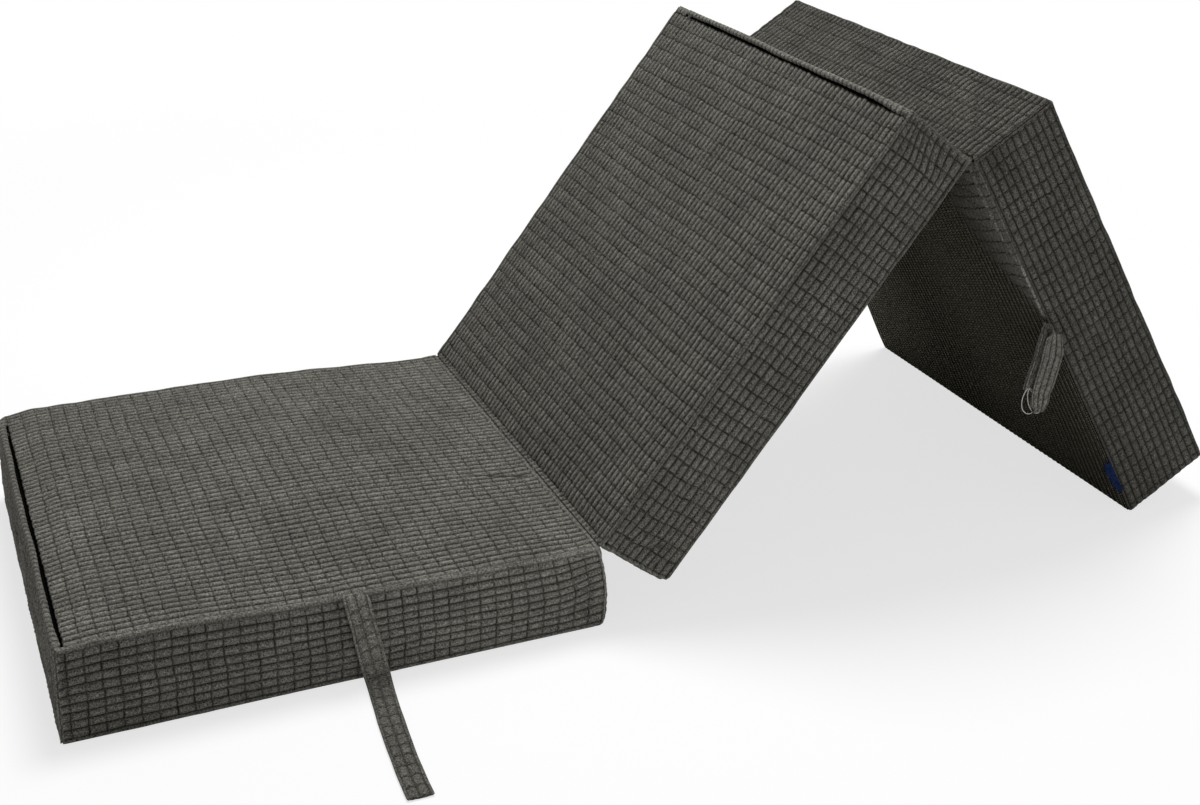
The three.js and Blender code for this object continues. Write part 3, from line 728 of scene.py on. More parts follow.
def simulated_softness(section):
    """Runs the cover as pressed cloth held at its seams; gives how far each coarse grid point moved."""
    lines = coarse_lines(section)
    grids = [face_grid(lines, face) for face in FACES.values()]
    vertex, first, quads, _ = welded(grids, lines)
    rest = np.concatenate([points.reshape(-1, 3) for points, _ in grids])[first]
    rest = soft_form(rest, section)
    cover = new_object(f"{section.name}_cloth", rest, quads)
    at_seam = sum(
        (np.abs(rest[:, axis] - end) < 1.2 * EDGE_RADIUS).astype(int)
        for axis, ends in enumerate(block_ends(section)) for end in ends
    ) >= 2
    seams = cover.vertex_groups.new(name="seams")
    seams.add(np.flatnonzero(at_seam).tolist(), CLOTH_SEAM_PIN, "REPLACE")
    cloth = cover.modifiers.new("cover cloth", "CLOTH")
    set_all(cloth.settings, CLOTH_SETTINGS)
    cloth.settings.effector_weights.gravity = 0
    cloth.point_cache.frame_end = CLOTH_FRAMES
    for number in range(1, CLOTH_FRAMES + 1):
        bpy.context.scene.frame_set(number)
    make_active(cover)
    bpy.ops.object.modifier_apply(modifier=cloth.name)
    moved = np.zeros(len(rest) * 3)
    cover.data.vertices.foreach_get("co", moved)
    bpy.data.objects.remove(cover)
    bpy.context.scene.frame_set(1)
    return lines, (moved.reshape(-1, 3) - rest)[vertex]


def softness_on(lines, softness, fine):
    """The simulated movement, softly limited, read at the fine grid lines of each face."""
    limited = SOFT_LIMIT * np.tanh(softness / SOFT_LIMIT)
    fields, start = {}, 0
    for name, face in FACES.items():
        shape = [len(lines[axis].places) for axis in face.grid]
        field = limited[start:start + shape[0] * shape[1]].reshape(*shape, 3)
        start += shape[0] * shape[1]
        weights, gaps = [], []
        for axis in face.grid:
            coarse, places = lines[axis].places, fine[axis].places
            count = len(coarse)
            weights.append(cubic_weights(np.interp(places, coarse, np.arange(count)), count))
            gaps.append(np.minimum(places - places[0], places[-1] - places))
        soft = np.einsum("ui,vj,ijk->uvk", *weights, field, optimize=True)
        held = SOFT_AT_SEAM + (1 - SOFT_AT_SEAM) * smooth_step(np.minimum.outer(*gaps), 0, SOFT_REACH)
        fields[name] = soft * held[..., None]
    return fields


def wrap_width(x):
    """Width of the plush that is drawn onto the right section's underside."""
    return WRAP_WIDTH * (1 - smooth_step(x, WRAP_FULL, WRAP_END)) ** WRAP_POWER


def grid_places(points, face):
    """Places from 0 to 1 of a face's grid lines along both of its axes."""
    first = points[:, 0, face.grid[0]]
    second = points[0, :, face.grid[1]]
    return [(line - line[0]) / (line[-1] - line[0]) for line in (first, second)]


def crease_depth(points, face, creases):
    """Depth of the listed creases, each a soft furrow from start to end on the face."""
    depth = np.zeros(points.shape[:2])
    flat = points[..., list(face.grid)]
    for crease in creases:
        *ends, deep, reach = np.array(crease) / 1000
        start, end = np.reshape(ends, (2, 2))
        along = end - start
        share = unit(((flat - start) @ along) / (along @ along))
        gap = np.linalg.norm(flat - start - share[..., None] * along, axis=-1)
        depth += deep * hump(gap, 0, reach) * arch(np.clip(share, END_SHARE, 1 - END_SHARE)) ** 0.5
    return depth


def from_zip(points, section):
    """How far points lie from the section's outer end."""
    return section.high - points[..., 0] if section.zip_high else points[..., 0] - section.low


def channel_share(points, section):
    """1 inside the zip's channel and 0 outside it, for points on a section's top."""
    inward = from_zip(points, section)
    across = (inward > LIP_WIDTH + CHANNEL_WALL / 2) & (inward < LIP_WIDTH + CHANNEL_WIDTH - CHANNEL_WALL / 2)
    y = points[..., 1]
    near = smooth_step(y, channel_front(section), channel_front(section) + CHANNEL_END_REACH)
    far = smooth_step(y, SECTION_WIDTH - CHANNEL_BACK, SECTION_WIDTH - CHANNEL_BACK - CHANNEL_END_REACH)
    return across * near * far


def seam_relief(section, name, face, points):
    """Beside a face's seams: how much pattern shows, the relief, the painted shade in the seam valleys, the
    piping ridge that gets a painted highlight, and the distance.
    """
    shown, relief, tone, piping, edge = 1, 0, 0, 0, np.full(points.shape[:2], 1.0)
    for neighbour, distance in edge_distances(points, section, face):
        strength = section.seams.get(frozenset((name, neighbour)), 1)
        edge = np.minimum(edge, distance)
        if strength == 0:
            continue
        pattern = (SOFT_PATTERN_START, SOFT_PATTERN_END) if strength < 0.2 else (PATTERN_START, PATTERN_END)
        shown = shown * smooth_step(distance, *pattern)
        valley = hump(distance, 0, SEAM_VALLEY_REACH)
        ridge = hump(distance, SEAM_RIDGE_PLACE, SEAM_RIDGE_REACH)
        relief = relief + strength * (SEAM_RIDGE * ridge - SEAM_VALLEY * valley)
        piping = np.maximum(piping, smooth_step(strength, 0.9, 1.2) * ridge)
        # Painted shade in the seam valley.
        tone = np.maximum(tone, min(strength, 1) * 0.9 * valley)
    return shown, relief, tone, piping, edge


def plush_relief(section, name, face, points, numbers, lines, random):
    """The plush on one face: how far its points slide and rise, the painted shade in its grooves, creases and
    seams, its nap with painted light, and its grooves.
    """
    along_axis, across_axis = face.ribs
    along = lines[along_axis].cells[numbers[along_axis]]
    across = lines[across_axis].cells[numbers[across_axis]]
    cell = CELL_LENGTH
    if along_axis == 2:
        along = along / 2
        cell = 2 * ROW_PITCH
    shown, seam, tone, piping, edge = seam_relief(section, name, face, points)
    from_middle = from_rib(across)
    low_rib = from_middle**CELL_ROUND_POWER
    row = (np.floor(across) - np.floor(across.min())).astype(int)
    column = (np.floor(along) - np.floor(along.min())).astype(int)
    row_jitter = random.uniform(-1, 1, row.max() + 1)[row]
    cell_values = random.uniform(-1, 1, (4, row.max() + 2, column.max() + 2))
    from_cross = np.abs(along - np.round(along)) * cell
    cross_column = (np.round(along) - np.floor(along.min())).astype(int)
    broken = 1 - CROSS_UNEVEN + CROSS_UNEVEN * cell_values[1][row, cross_column]
    weave = BAND_WEAVE if name in ("front", "back") else WEAVE
    stagger, bare_tone, rib_tone, cross_tone = CELL_JITTER, BARE_TONE, weave.tone, weave.cross_tone
    if section is RIGHT:
        stagger, bare_tone = RIGHT_STAGGER * stagger, RIGHT_BARE_TONE
        rib_tone, cross_tone = RIGHT_TONE * rib_tone, RIGHT_CROSS_TONE * cross_tone
    low_cross = np.exp(-((from_cross / weave.cross_reach) ** CROSS_POWER)) * broken
    drop = weave.groove * low_rib + weave.cross_depth * low_cross * (1 - low_rib) * 0.9
    lift = CELL_HEIGHT_JITTER * cell_values[0][row, column] * (1 - low_rib) * (1 - low_cross)
    pile = PILE_ROUGHNESS * random.uniform(-1, 1, points.shape[:2])
    places = grid_places(points, face)
    settle = SETTLE * smooth_field(random, SETTLE_LATTICE, places)
    pucker = PUCKER * smooth_field(random, PUCKER_LATTICE, places)
    pucker = pucker * smooth_step(edge, PUCKER_FAR, PUCKER_NEAR)
    creases = crease_depth(points, face, section.creases.get(name, ()))
    fade = smooth_step(edge, 0.004, 0.03)
    sway = [smooth_field(random, SWAY_LATTICE, places) * SWAY * fade for _ in range(2)]
    slide = np.zeros_like(points)
    bow = CELL_BOW * (1 - from_middle**2) + stagger * row_jitter * (1 - low_rib)
    slide[..., along_axis] = sway[0] + bow * shown
    slide[..., across_axis] = sway[1]
    for start, end, axis, reach in section.pulls.get(name, ()):
        middle = points[..., axis] / (SECTION_LENGTH, SECTION_WIDTH, section.height)[axis]
        slide[..., axis] += reach * smooth_step(points[..., 0], start, end) * arch(unit(middle))
    rise = (lift + pile - drop) * shown + seam + settle * smooth_step(edge, 0, 0.02) + pucker - creases
    # Painted shade: the grooves, the bare strips beside seams and the creases are darkened towards the
    # painted shade colour.
    hollow = np.maximum(rib_tone * from_middle**weave.sharpness, cross_tone * low_cross)
    tone = np.maximum(tone, np.where(shown < 1, bare_tone * (1 - shown), 0) + hollow * shown)
    tone = np.maximum(tone, 0.9 * unit(creases / CREASE_FULL_SHADE))
    # Lightness painted on the face: a ramp between the section's two values, partly nap and partly painted
    # light, random nap patches, and a painted highlight on the seam piping.
    start_nap_light, end_nap_light = section.naps.get(name, (1, 1))
    nap = start_nap_light + (end_nap_light - start_nap_light) * places[0][:, None]
    nap = nap * (1 + NAP_SWING * smooth_field(random, NAP_LATTICE, places)) * (1 + PIPING_HIGHLIGHT * piping)
    return slide, rise, tone, nap, low_rib


def base_relief(section, points, slide, rise, tone, nap, low_rib):
    """The anti-slip cloth has low rows; beside the ridge the front band's plush is drawn over it."""
    edge = np.minimum.reduce([distance for _, distance in edge_distances(points, section, FACES["base"])])
    valley = hump(edge, 0, SEAM_VALLEY_REACH)
    rib = SEAM_RIDGE * 0.6 * hump(edge, SEAM_RIDGE_PLACE, SEAM_RIDGE_REACH)
    bare = rib - SEAM_VALLEY * 0.6 * valley - BASE_ROW_DEPTH * low_rib
    # Painted shade in the seam valleys and between the cloth's rows.
    bare_tone = np.maximum(0.6 * valley, 0.5 * low_rib)
    if section is RIGHT:
        x, y = points[..., 0], points[..., 1]
        width = wrap_width(x) * (1 + 0.05 * np.sin(x * 71) + 0.03 * np.sin(x * 173 + 1))
        plush = smooth_step(y, width + 0.012, width - 0.016) * smooth_step(width, 0.002, 0.012)
        welt_place = 0.003 + WELT_INSET * smooth_step(x, WELT_TURN, WRAP_FULL)
        beside_welt = hump(y, welt_place + 2 * WELT_REACH, WELT_REACH)
        welt = WELT_HEIGHT * (hump(y, welt_place, WELT_REACH) - 0.6 * beside_welt) * (width > 0.004)
        welt = welt * smooth_step(x, WRAP_END, WRAP_END - 0.03) * smooth_step(x, 0.003, 0.035)
        past = smooth_step(y, width + 0.030, width - 0.030) * smooth_step(width, 0.002, 0.012)
        rise = (rise + 0.6 * WEAVE.groove * low_rib) * plush + bare * (1 - plush) + welt
        tone = 0.35 * tone * plush + bare_tone * (1 - plush)
        # Painted light: the drawn plush is painted lighter near the front edge and darker further under the
        # section, where it lies in shade, and the welt's ridge gets a painted highlight.
        nap = nap * (1.25 - 0.55 * smooth_step(y, 0, np.maximum(width, 0.001)) * (width > 0.004))
        nap = nap * (1 + 0.7 * hump(y, welt_place, WELT_REACH) * smooth_step(width, 0.004, 0.03))
        return slide * plush[..., None], rise, tone, nap, plush, past
    return slide * 0, bare, bare_tone, nap, *np.zeros((2, *rise.shape))


def dressed_face(section, name, points, numbers, lines, softness, random):
    """One face of a cover: for each grid point its place, its place on the flat cloth, and its six values."""
    face = FACES[name]
    slide, rise, tone, nap, low_rib = plush_relief(section, name, face, points, numbers, lines, random)
    drawn_plush = drawn_lines = np.ones(points.shape[:2])
    channel = np.zeros(points.shape[:2])
    if name == "base":
        slide, rise, tone, nap, drawn_plush, drawn_lines = base_relief(
            section, points, slide, rise, tone, nap, low_rib
        )
    if name == "top":
        channel = channel_share(points, section)
        inward = from_zip(points, section)
        inner_wall = LIP_WIDTH + CHANNEL_WIDTH - CHANNEL_WALL
        rise = rise * smooth_step(inward, inner_wall, inner_wall + CHANNEL_SHOULDER)
        slide = slide * (inward > inner_wall - 0.0001)[..., None]
    place = soft_form(points, section) + softness + slide
    flat = points[..., list(face.grid)] + np.array(face.layout)
    values = np.stack([rise, tone, nap, drawn_plush, drawn_lines, channel], -1)
    return np.concatenate([place, flat, values], axis=-1).reshape(-1, 11)


def cover(section):
    """One section's cover as a closed soft form with its plush cells, seams and zip channel."""
    random = np.random.default_rng(section.seed)
    lines = fine_lines(section)
    fields = softness_on(*simulated_softness(section), lines)
    grids = {name: face_grid(lines, face) for name, face in FACES.items()}
    _, first, quads, corners = welded(list(grids.values()), lines)
    parts = np.concatenate([
        dressed_face(section, name, *grids[name], lines, fields[name], random) for name in FACES
    ])
    place = parts[first, :3]
    rise, tone, nap, drawn_plush, drawn_lines, channel = parts[first, 5:].T
    final = place + vertex_normals(place, quads) * rise[:, None]
    final[:, 2] -= channel * channel_depth(section)
    final = placed(final, section.place)
    final[:, 2] = np.maximum(final[:, 2], 0)
    piece = new_object(f"{section.name}_cover", final, quads)
    set_values(piece, hollow=unit(tone), nap=nap, drawn_plush=drawn_plush, drawn_lines=drawn_lines)
    set_layout(piece, parts[:, 3:5], corners)
    base_start = grids["top"][0][..., 0].size
    base_end = base_start + grids["base"][0][..., 0].size
    on_base = (corners.min(axis=1) >= base_start) & (corners.max(axis=1) < base_end)
    slots = np.where(channel[quads].max(axis=1) > 0.4, 2, np.where(on_base, 1, 0))
    panels = ("core", "top_panel", "front_band", "back_band", "zip_end_band", "fold_end_band", "base_panel")
    nodes = [f"{section.name}_{panel}" for panel in panels]
    dress(piece, f"{section.name}_section", "cover_plush", *nodes, materials=(PLUSH, BASE_CLOTH, ZIP_TAPE))
    piece.data.polygons.foreach_set("material_index", slots)
    piece.data.update()


def feed(tree, made, inputs):
    """Gives a node's inputs, by name or in order, their values or other nodes' sockets."""
    for key, value in inputs.items() if isinstance(inputs, dict) else enumerate(inputs):
        if isinstance(value, bpy.types.NodeSocket):
            tree.links.new(value, made.inputs[key])
        else:
            made.inputs[key].default_value = value


def node(tree, kind, inputs=(), output=0, **settings):
    """A shader node with its settings and inputs; gives one of its outputs."""
    made = tree.nodes.new(f"ShaderNode{kind}")
    set_all(made, settings)
    feed(tree, made, inputs)
    return made.outputs[output]


def new_material(name):
    material = bpy.data.materials.new(name)
    material.use_nodes = True
    return material, material.node_tree, material.node_tree.nodes["Principled BSDF"]


def attribute(tree, name):
    return node(tree, "Attribute", output="Fac", attribute_name=name)


def math_node(tree, operation, first, second):
    return node(tree, "Math", (first, second), operation=operation)


def scaled(tree, vector, scale):
    return node(tree, "VectorMath", {0: vector, "Scale": scale}, operation="SCALE")


def map_range(tree, value, start, end, low, high, **settings):
    inputs = {"Value": value, "From Min": start, "From Max": end, "To Min": low, "To Max": high}
    return node(tree, "MapRange", inputs, **settings)


def scaled_noise(tree, place, scale, detail, roughness=0.6):
    """Noise read at a place; scale is in features to the metre."""
    return node(tree, "TexNoise", {"Vector": place, "Scale": scale, "Detail": detail, "Roughness": roughness})


def varied(tree, value, noise, amount):
    """value times 1 plus the noise's swing round its middle."""
    swing = map_range(tree, noise, 0.25, 0.75, 1 - amount, 1 + amount, clamp=False)
    return math_node(tree, "MULTIPLY", value, swing)


def mixed_colour(tree, share, first, second):
    """A mix of two colours, each a plain value or a socket."""
    first, second = (c if isinstance(c, bpy.types.NodeSocket) else (*c, 1) for c in (first, second))
    return node(tree, "Mix", {0: share, 6: first, 7: second}, output=2, data_type="RGBA")


def cloth_layout(tree):
    """The piece's own cloth layout, as it is stored and in metres."""
    layout = node(tree, "UVMap", uv_map="cloth")
    return layout, scaled(tree, layout, 1 / UV_SCALE)


def plush_look(tree, place, colour):
    """Short-pile plush: fibres, clumped pile and nap patches over the stored nap and painted light, darkened
    towards painted shade in the grooves, creases and seams; gives its colour and height.
    """
    fibres = scaled_noise(tree, place, FIBRE_SCALE, 2, 0.8)
    clumps = scaled_noise(tree, place, CLUMP_SCALE, 2, 0.7)
    patches = scaled_noise(tree, place, PATCH_SCALE, 4, 0.7)
    shade = attribute(tree, "nap")
    for noise, swing in ((fibres, FIBRE_SWING), (clumps, CLUMP_SWING), (patches, PATCH_SWING)):
        shade = varied(tree, shade, noise, swing)
    result = mixed_colour(tree, attribute(tree, "hollow"), colour, PAINTED_SHADE_COLOUR)
    return scaled(tree, result, shade), varied(tree, fibres, clumps, 0.6)


def row_look(tree, layout, place, colour, pitch, step, contrast):
    """A cloth with fine raised rows, broken into short stitches, painted lighter on the rows and darker
    between them as painted shade, and darker still where the piece stores painted shade; gives its colour and
    its height.
    """
    rows, stitches = (
        node(tree, "TexWave", {
            "Vector": layout, "Scale": math.pi / 10 / (width * UV_SCALE),
            "Distortion": 1.2, "Detail Scale": 3,
        }, output="Fac", bands_direction=direction)
        for direction, width in (("X", pitch), ("Y", step))
    )
    grain = scaled_noise(tree, place, FIBRE_SCALE, 3, 0.8)
    clumps = scaled_noise(tree, place, 160, 3, 0.7)
    height = varied(tree, rows, stitches, 0.5)
    shade = map_range(tree, height, 0, 1, 0.97 - contrast, 0.97 + contrast)
    shade = varied(tree, varied(tree, shade, grain, 1.7), clumps, 0.7)
    result = mixed_colour(tree, attribute(tree, "hollow"), colour, [0.3 * value for value in colour])
    return scaled(tree, result, shade), varied(tree, height, grain, 0.35)


def finish_cloth(tree, surface, colour, height, strength, distance, sheen):
    """Puts a cloth's colour and relief on its surface, which is dull."""
    normal = node(tree, "Bump", {"Strength": strength, "Distance": distance, "Height": height})
    feed(tree, surface, {
        "Base Color": colour, "Normal": normal, "Roughness": 0.95, "Specular IOR Level": 0,
        "Sheen Weight": sheen, "Sheen Roughness": 0.45, "Sheen Tint": (0.62, 0.61, 0.56, 1),
    })


def plush_material(name, colour, on_layout=False):
    """Ribbed plush; on_layout reads it in the piece's own layout, for a piece that bends."""
    material, tree, surface = new_material(name)
    place = cloth_layout(tree)[1] if on_layout else node(tree, "TexCoord", output="Object")
    finish_cloth(tree, surface, *plush_look(tree, place, colour), 0.9, 0.0013, 0.15)
    return material


def row_cloth_material(name, colour, pitch, step, contrast):
    """A dark cloth with fine raised rows; where the plush is drawn over it, it turns into plush."""
    material, tree, surface = new_material(name)
    layout, place = cloth_layout(tree)
    rows, height = row_look(tree, layout, place, colour, pitch, step, contrast)
    plush, _ = plush_look(tree, place, PLUSH_COLOUR)
    shown = mixed_colour(tree, attribute(tree, "drawn_plush"), rows, plush)
    shown = mixed_colour(tree, slanting_lines(tree, place), shown, PAINTED_SHADE_COLOUR)
    finish_cloth(tree, surface, shown, height, 0.6, 0.0010, 0.05)
    return material


def slanting_lines(tree, place):
    """The cross grooves of plush that is drawn aslant over the base cloth, as uneven dark lines of painted
    shade.
    """
    inward, along = (node(tree, "SeparateXYZ", (place,), output=name) for name in "XY")
    inward = math_node(tree, "SUBTRACT", inward, FACES["base"].layout[0])
    along = math_node(tree, "SUBTRACT", along, math_node(tree, "MULTIPLY", inward, WRAP_SLANT))
    gap = math_node(tree, "PINGPONG", along, CELL_LENGTH / 2)
    line = map_range(tree, gap, 0.0020, 0.0004, 0, 1, interpolation_type="SMOOTHSTEP")
    uneven_grooves = varied(tree, attribute(tree, "drawn_lines"), scaled_noise(tree, place, 90, 2), 0.5)
    return math_node(tree, "MULTIPLY", line, math_node(tree, "MULTIPLY", uneven_grooves, 0.62))


def plain_material(name, colour, roughness, metallic, grain_scale, grain, bump_height, specular=0.5):
    """A small part's finish: its colour with a fine grain in tone and in relief."""
    material, tree, surface = new_material(name)
    speckle = scaled_noise(tree, node(tree, "TexCoord", output="Object"), grain_scale, 3)
    feed(tree, surface, {
        "Base Color": scaled(tree, colour, varied(tree, 1, speckle, grain)),
        "Normal": node(tree, "Bump", {"Strength": 0.5, "Distance": bump_height, "Height": speckle}),
        "Roughness": roughness, "Metallic": metallic, "Specular IOR Level": specular,
    })
    return material


PLUSH = plush_material("charcoal ribbed plush", PLUSH_COLOUR)
STRAP_PLUSH = plush_material("charcoal strap plush", PLUSH_COLOUR)
FOLD_PLUSH = plush_material("charcoal fold plush", PLUSH_COLOUR, True)
BASE_CLOTH = row_cloth_material("dark anti-slip cloth", (0.140, 0.134, 0.102), 0.0055, 0.0048, 0.97)
ZIP_TAPE = plain_material("black woven tape", (0.003, 0.003, 0.0026), 0.95, 0, 1500, 0.3, 0.0002, 0)
ZIP_COIL = plain_material("black nylon coil", (0.005, 0.005, 0.0045), 0.6, 0, 900, 0.1, 0.00005, 0.04)
ZIP_METAL = plain_material("dark enamelled metal", (0.03, 0.03, 0.03), 0.35, 0.6, 700, 0.12, 0.00005)
NYLON = plain_material("clear nylon", (0.75, 0.75, 0.73), 0.25, 0, 600, 0.05, 0.00003)
LABEL_CLOTH = row_cloth_material("navy woven label", (0.0165, 0.0355, 0.124), 0.0011, 0.0016, 0.40)


def channel_front(section):
    """Where the zip's channel starts, from the front face."""
    return RIDGE_CHANNEL_FRONT if section is MIDDLE else CHANNEL_FRONT


def zip_lift(section):
    """How much higher the cover lies beside the zip than on the plain block."""
    return {"left": LEFT_ZIP_LIFT, "middle": 0, "right": RIGHT_ZIP_LIFT}[section.name]


def channel_depth(section):
    """The zip stays where it is where the cover swells round it."""
    return CHANNEL_DEPTH + (zip_lift(section) - ZIP_CLEARANCE if section.free_end else 0)


def lip(section):
    """The standing lip beside the zip, a soft roll of the end band's cloth with its ribs carried over it."""
    lines = fine_lines(section)[1]
    inside = (lines.places > channel_front(section)) & (lines.places < SECTION_WIDTH - CHANNEL_BACK)
    y, across = lines.places[inside], lines.cells[inside]
    outline = np.array([
        (0.0010, -LIP_DEPTH), (-0.0002, -0.0065), (-0.0007, -0.004), (-0.0008, -0.0015), (-0.0004, 0.0008),
        (0.0008, 0.0023), (0.0026, LIP_HEIGHT), (0.0044, 0.0029), (0.0058, 0.0018), (0.0066, 0.0001),
        (0.0068, -0.0022), (0.0066, -0.0045), (0.0050, -LIP_DEPTH),
    ])
    rib = 1 - from_rib(across) ** RIB_ROUND_POWER
    stand = smooth_step(y, y[0], y[0] + 0.006) * smooth_step(y, y[-1], y[-1] - 0.006)
    middle = outline.mean(axis=0)
    outward = (outline - middle) / np.abs(outline - middle).max()
    grown = outline[None] - 0.0012 * (1 - rib)[:, None, None] * outward
    grown[..., 1] -= (1 - stand)[:, None] * 0.0035
    near, far = LIP_CLOSING[section.name]
    lean = near * smooth_step(y, y[0] + 0.07, y[0]) + far * smooth_step(y, y[-1] - 0.10, y[-1])
    lean = lean + 0.0006 + 0.0006 * np.sin(y * 47 + section.seed)
    over = smooth_step(grown[..., 0], 0.002, 0.0066) * smooth_step(grown[..., 1], -0.0045, 0)
    inward = grown[..., 0] + lean[:, None] * over
    x = section.high - inward if section.zip_high else section.low + inward
    wave = 0.0006 * np.sin(y * 21 + section.seed)
    top = section.height + zip_lift(section)
    points = np.stack([x + wave[:, None], np.broadcast_to(y[:, None], x.shape), top + grown[..., 1]], -1)
    rows, columns = points.shape[:2]
    quads = grid_quads(rows, columns).tolist()
    quads += [[r, r + columns - 1, r + 2 * columns - 1, r + columns] for r in columns * np.arange(rows - 1)]
    caps = [list(range(columns)), list(range((rows - 1) * columns, rows * columns))]
    piece = new_object(f"{section.name}_zip_lip", placed(points.reshape(-1, 3), section.place), quads + caps)
    face_outward(piece)
    # Painted shade between the ribs carried over the lip; the lip's lightness from the section's table is
    # partly painted light.
    hollow = np.repeat(0.8 * (1 - rib), columns)
    set_values(piece, hollow=hollow, nap=np.full(len(hollow), section.naps["lip"]))
    dress(piece, f"{section.name}_section", "cover_plush", materials=(PLUSH,))


def zip_coil(section):
    """The nylon coil: a row of small rounded teeth along the channel."""
    x_in = LIP_WIDTH + CHANNEL_WIDTH / 2
    x = section.high - x_in if section.zip_high else section.low + x_in
    z = section.height + zip_lift(section) - channel_depth(section) + COIL_LIFT
    start = channel_front(section) + CHANNEL_END_REACH
    count = int((SECTION_WIDTH - CHANNEL_BACK - CHANNEL_END_REACH - start) / COIL_PITCH)
    bpy.ops.mesh.primitive_uv_sphere_add(segments=6, ring_count=4, radius=0.5, location=(0, 0, 0))
    tooth = bpy.context.object
    tooth.name = f"{section.name}_zip_teeth"
    tooth.data.transform(
        Matrix.Translation((x, start, z)) @ Matrix.Diagonal((COIL_WIDTH, COIL_PITCH * 0.8, COIL_HEIGHT, 1))
    )
    apply_modifier(
        tooth, "ARRAY", count=count, use_relative_offset=False, use_constant_offset=True,
        constant_offset_displace=(0, COIL_PITCH, 0),
    )
    tooth.data.transform(section.place)
    bpy.ops.object.shade_smooth()
    dress(tooth, f"{section.name}_section", "zip_coil", f"{section.name}_zip_coil", materials=(ZIP_COIL,))


def dress_zip(section):
    """The tape and the slider keep their CAD shape."""
    for part, material in (("zip_tape", ZIP_TAPE), ("zip_slider", ZIP_METAL)):
        made = frame["nodes"][f"{section.name}_{part}"]
        made.data.materials.clear()
        made.data.materials.append(material)


def even_line(points, step):
    """A polyline resampled at even steps along its length, with the length at each place."""
    points = np.asarray(points, float)
    length = np.concatenate([[0], np.cumsum(np.linalg.norm(np.diff(points, axis=0), axis=1))])
    places = np.linspace(0, length[-1], round(length[-1] / step) + 1)
    return np.stack([np.interp(places, length, line) for line in points.T], 1), places


def softened_line(points, rounds):
    """A line with its corners taken off."""
    for _ in range(rounds):
        inner = (points[:-2] + 2 * points[1:-1] + points[2:]) / 4
        points = np.concatenate([points[:1], inner, points[-1:]])
    return points


def strap_pattern(columns_of, lengths, random, seed):
    """A strap's places across, from -1 to 1, with those at its edges, and how hollow its plush lies, which
    sets both its groove depth and its painted groove shade.

    columns_of holds the columns' bounds across the strap, which of them have cells, and the strengths of the
    painted shade in the lengthwise and the cross grooves.
    """
    bounds, cell_shares, rib_tone, cross_tone = columns_of
    bounds = np.array(bounds)
    share = (bounds[:-1, None] + np.diff(bounds)[:, None] * np.array(RIB_LINE_SHARES)).ravel()
    share = np.append(share, 1)
    at_edge = (share == 0) | (share == 1)
    column = np.clip(np.searchsorted(bounds, share, side="right") - 1, 0, len(bounds) - 2)
    from_middle = np.abs(2 * (share - bounds[column]) / (bounds[column + 1] - bounds[column]) - 1)
    jitter = random.uniform(-STRAP_CELL_JITTER, STRAP_CELL_JITTER, len(bounds))[column]
    shifted = (lengths / CELL_LENGTH)[:, None] + jitter - STRAP_CELL_BOW * from_middle**2
    from_cross = (shifted - np.round(shifted)) * CELL_LENGTH
    low_cross = hump(from_cross, 0, 1.4 * WEAVE.cross_reach) * np.array(cell_shares)[column]
    uneven_grooves = 0.65 + 0.35 * np.abs(np.sin(lengths * 9 + seed))[:, None]
    hollow = np.maximum(rib_tone * from_middle**3, cross_tone * low_cross) * uneven_grooves * ~at_edge
    return 2 * share - 1, at_edge, hollow


def strap_mesh(name, middle, across, width, lengths, naps, columns_of, seed):
    """A flat strap of folded plush along a line, with columns of cells, edge folds and closed ends."""
    random = np.random.default_rng(seed)
    tangent = np.gradient(middle, axis=0)
    tangent /= np.linalg.norm(tangent, axis=1, keepdims=True)
    across = across - tangent * (across * tangent).sum(1, keepdims=True)
    across /= np.linalg.norm(across, axis=1, keepdims=True)
    normal = np.cross(tangent, across)
    u, at_edge, hollow = strap_pattern(columns_of, lengths, random, seed)
    body = unit(1 - np.abs(u) ** STRAP_EDGE_POWER) ** 0.5
    end = np.minimum(lengths, lengths[-1] - lengths)
    close = np.sqrt(np.clip(1 - (1 - unit(end / (STRAP_THICKNESS / 2))) ** 2, 0.02, 1))
    grain = PILE_ROUGHNESS * random.uniform(-1, 1, (len(lengths), len(u)))
    height = (STRAP_THICKNESS / 2 * body[None] - STRAP_GROOVE * hollow + grain) * close[:, None]
    height = np.where(at_edge[None], 0, np.maximum(height, 0.0002))
    wave = 1 + 0.010 * np.sin(lengths * 55 + seed) + 0.006 * np.sin(lengths * 131)
    half = (width * wave)[:, None] / 2 * (0.92 + 0.08 * close[:, None])
    cup = STRAP_CUP * (np.abs(u[None]) ** 2 - 0.5)
    line = middle[:, None] + across[:, None] * (u[None] * half)[..., None] + normal[:, None] * cup[..., None]
    upper = line - normal[:, None] * height[..., None]
    lower = line + normal[:, None] * height[..., None]
    ring = np.concatenate([upper, lower[:, -2:0:-1]], axis=1)
    tones = np.concatenate([hollow, hollow[:, -2:0:-1]], axis=1)
    rows, columns = ring.shape[:2]
    index = np.arange(rows * columns).reshape(rows, columns)
    around = np.concatenate([index, index[:, :1]], axis=1).ravel()
    quads = around[grid_quads(rows, columns + 1)]
    caps = [list(range(columns)), list(range((rows - 1) * columns, rows * columns))[::-1]]
    piece = new_object(name, ring.reshape(-1, 3), quads.tolist() + caps)
    set_values(piece, hollow=tones.ravel(), nap=np.repeat(naps, columns))
    face_outward(piece)
    return piece


def root_place(thickness):
    """Middle of a strip at the edge it is sewn into: how far from the front face, and how far inwards."""
    inset = EDGE_RADIUS * (1 - HALF_ROOT)
    outside = (STRAP_CLEARANCE + thickness / 2) * HALF_ROOT
    return inset + SIDE_DRAW_IN - outside, inset - outside


def arc_points(centre, radius, start, end, steps):
    angles = start + (end - start) * np.arange(1, steps + 1) / steps
    return [(centre[0] + radius * math.cos(a), centre[1] + radius * math.sin(a)) for a in angles]


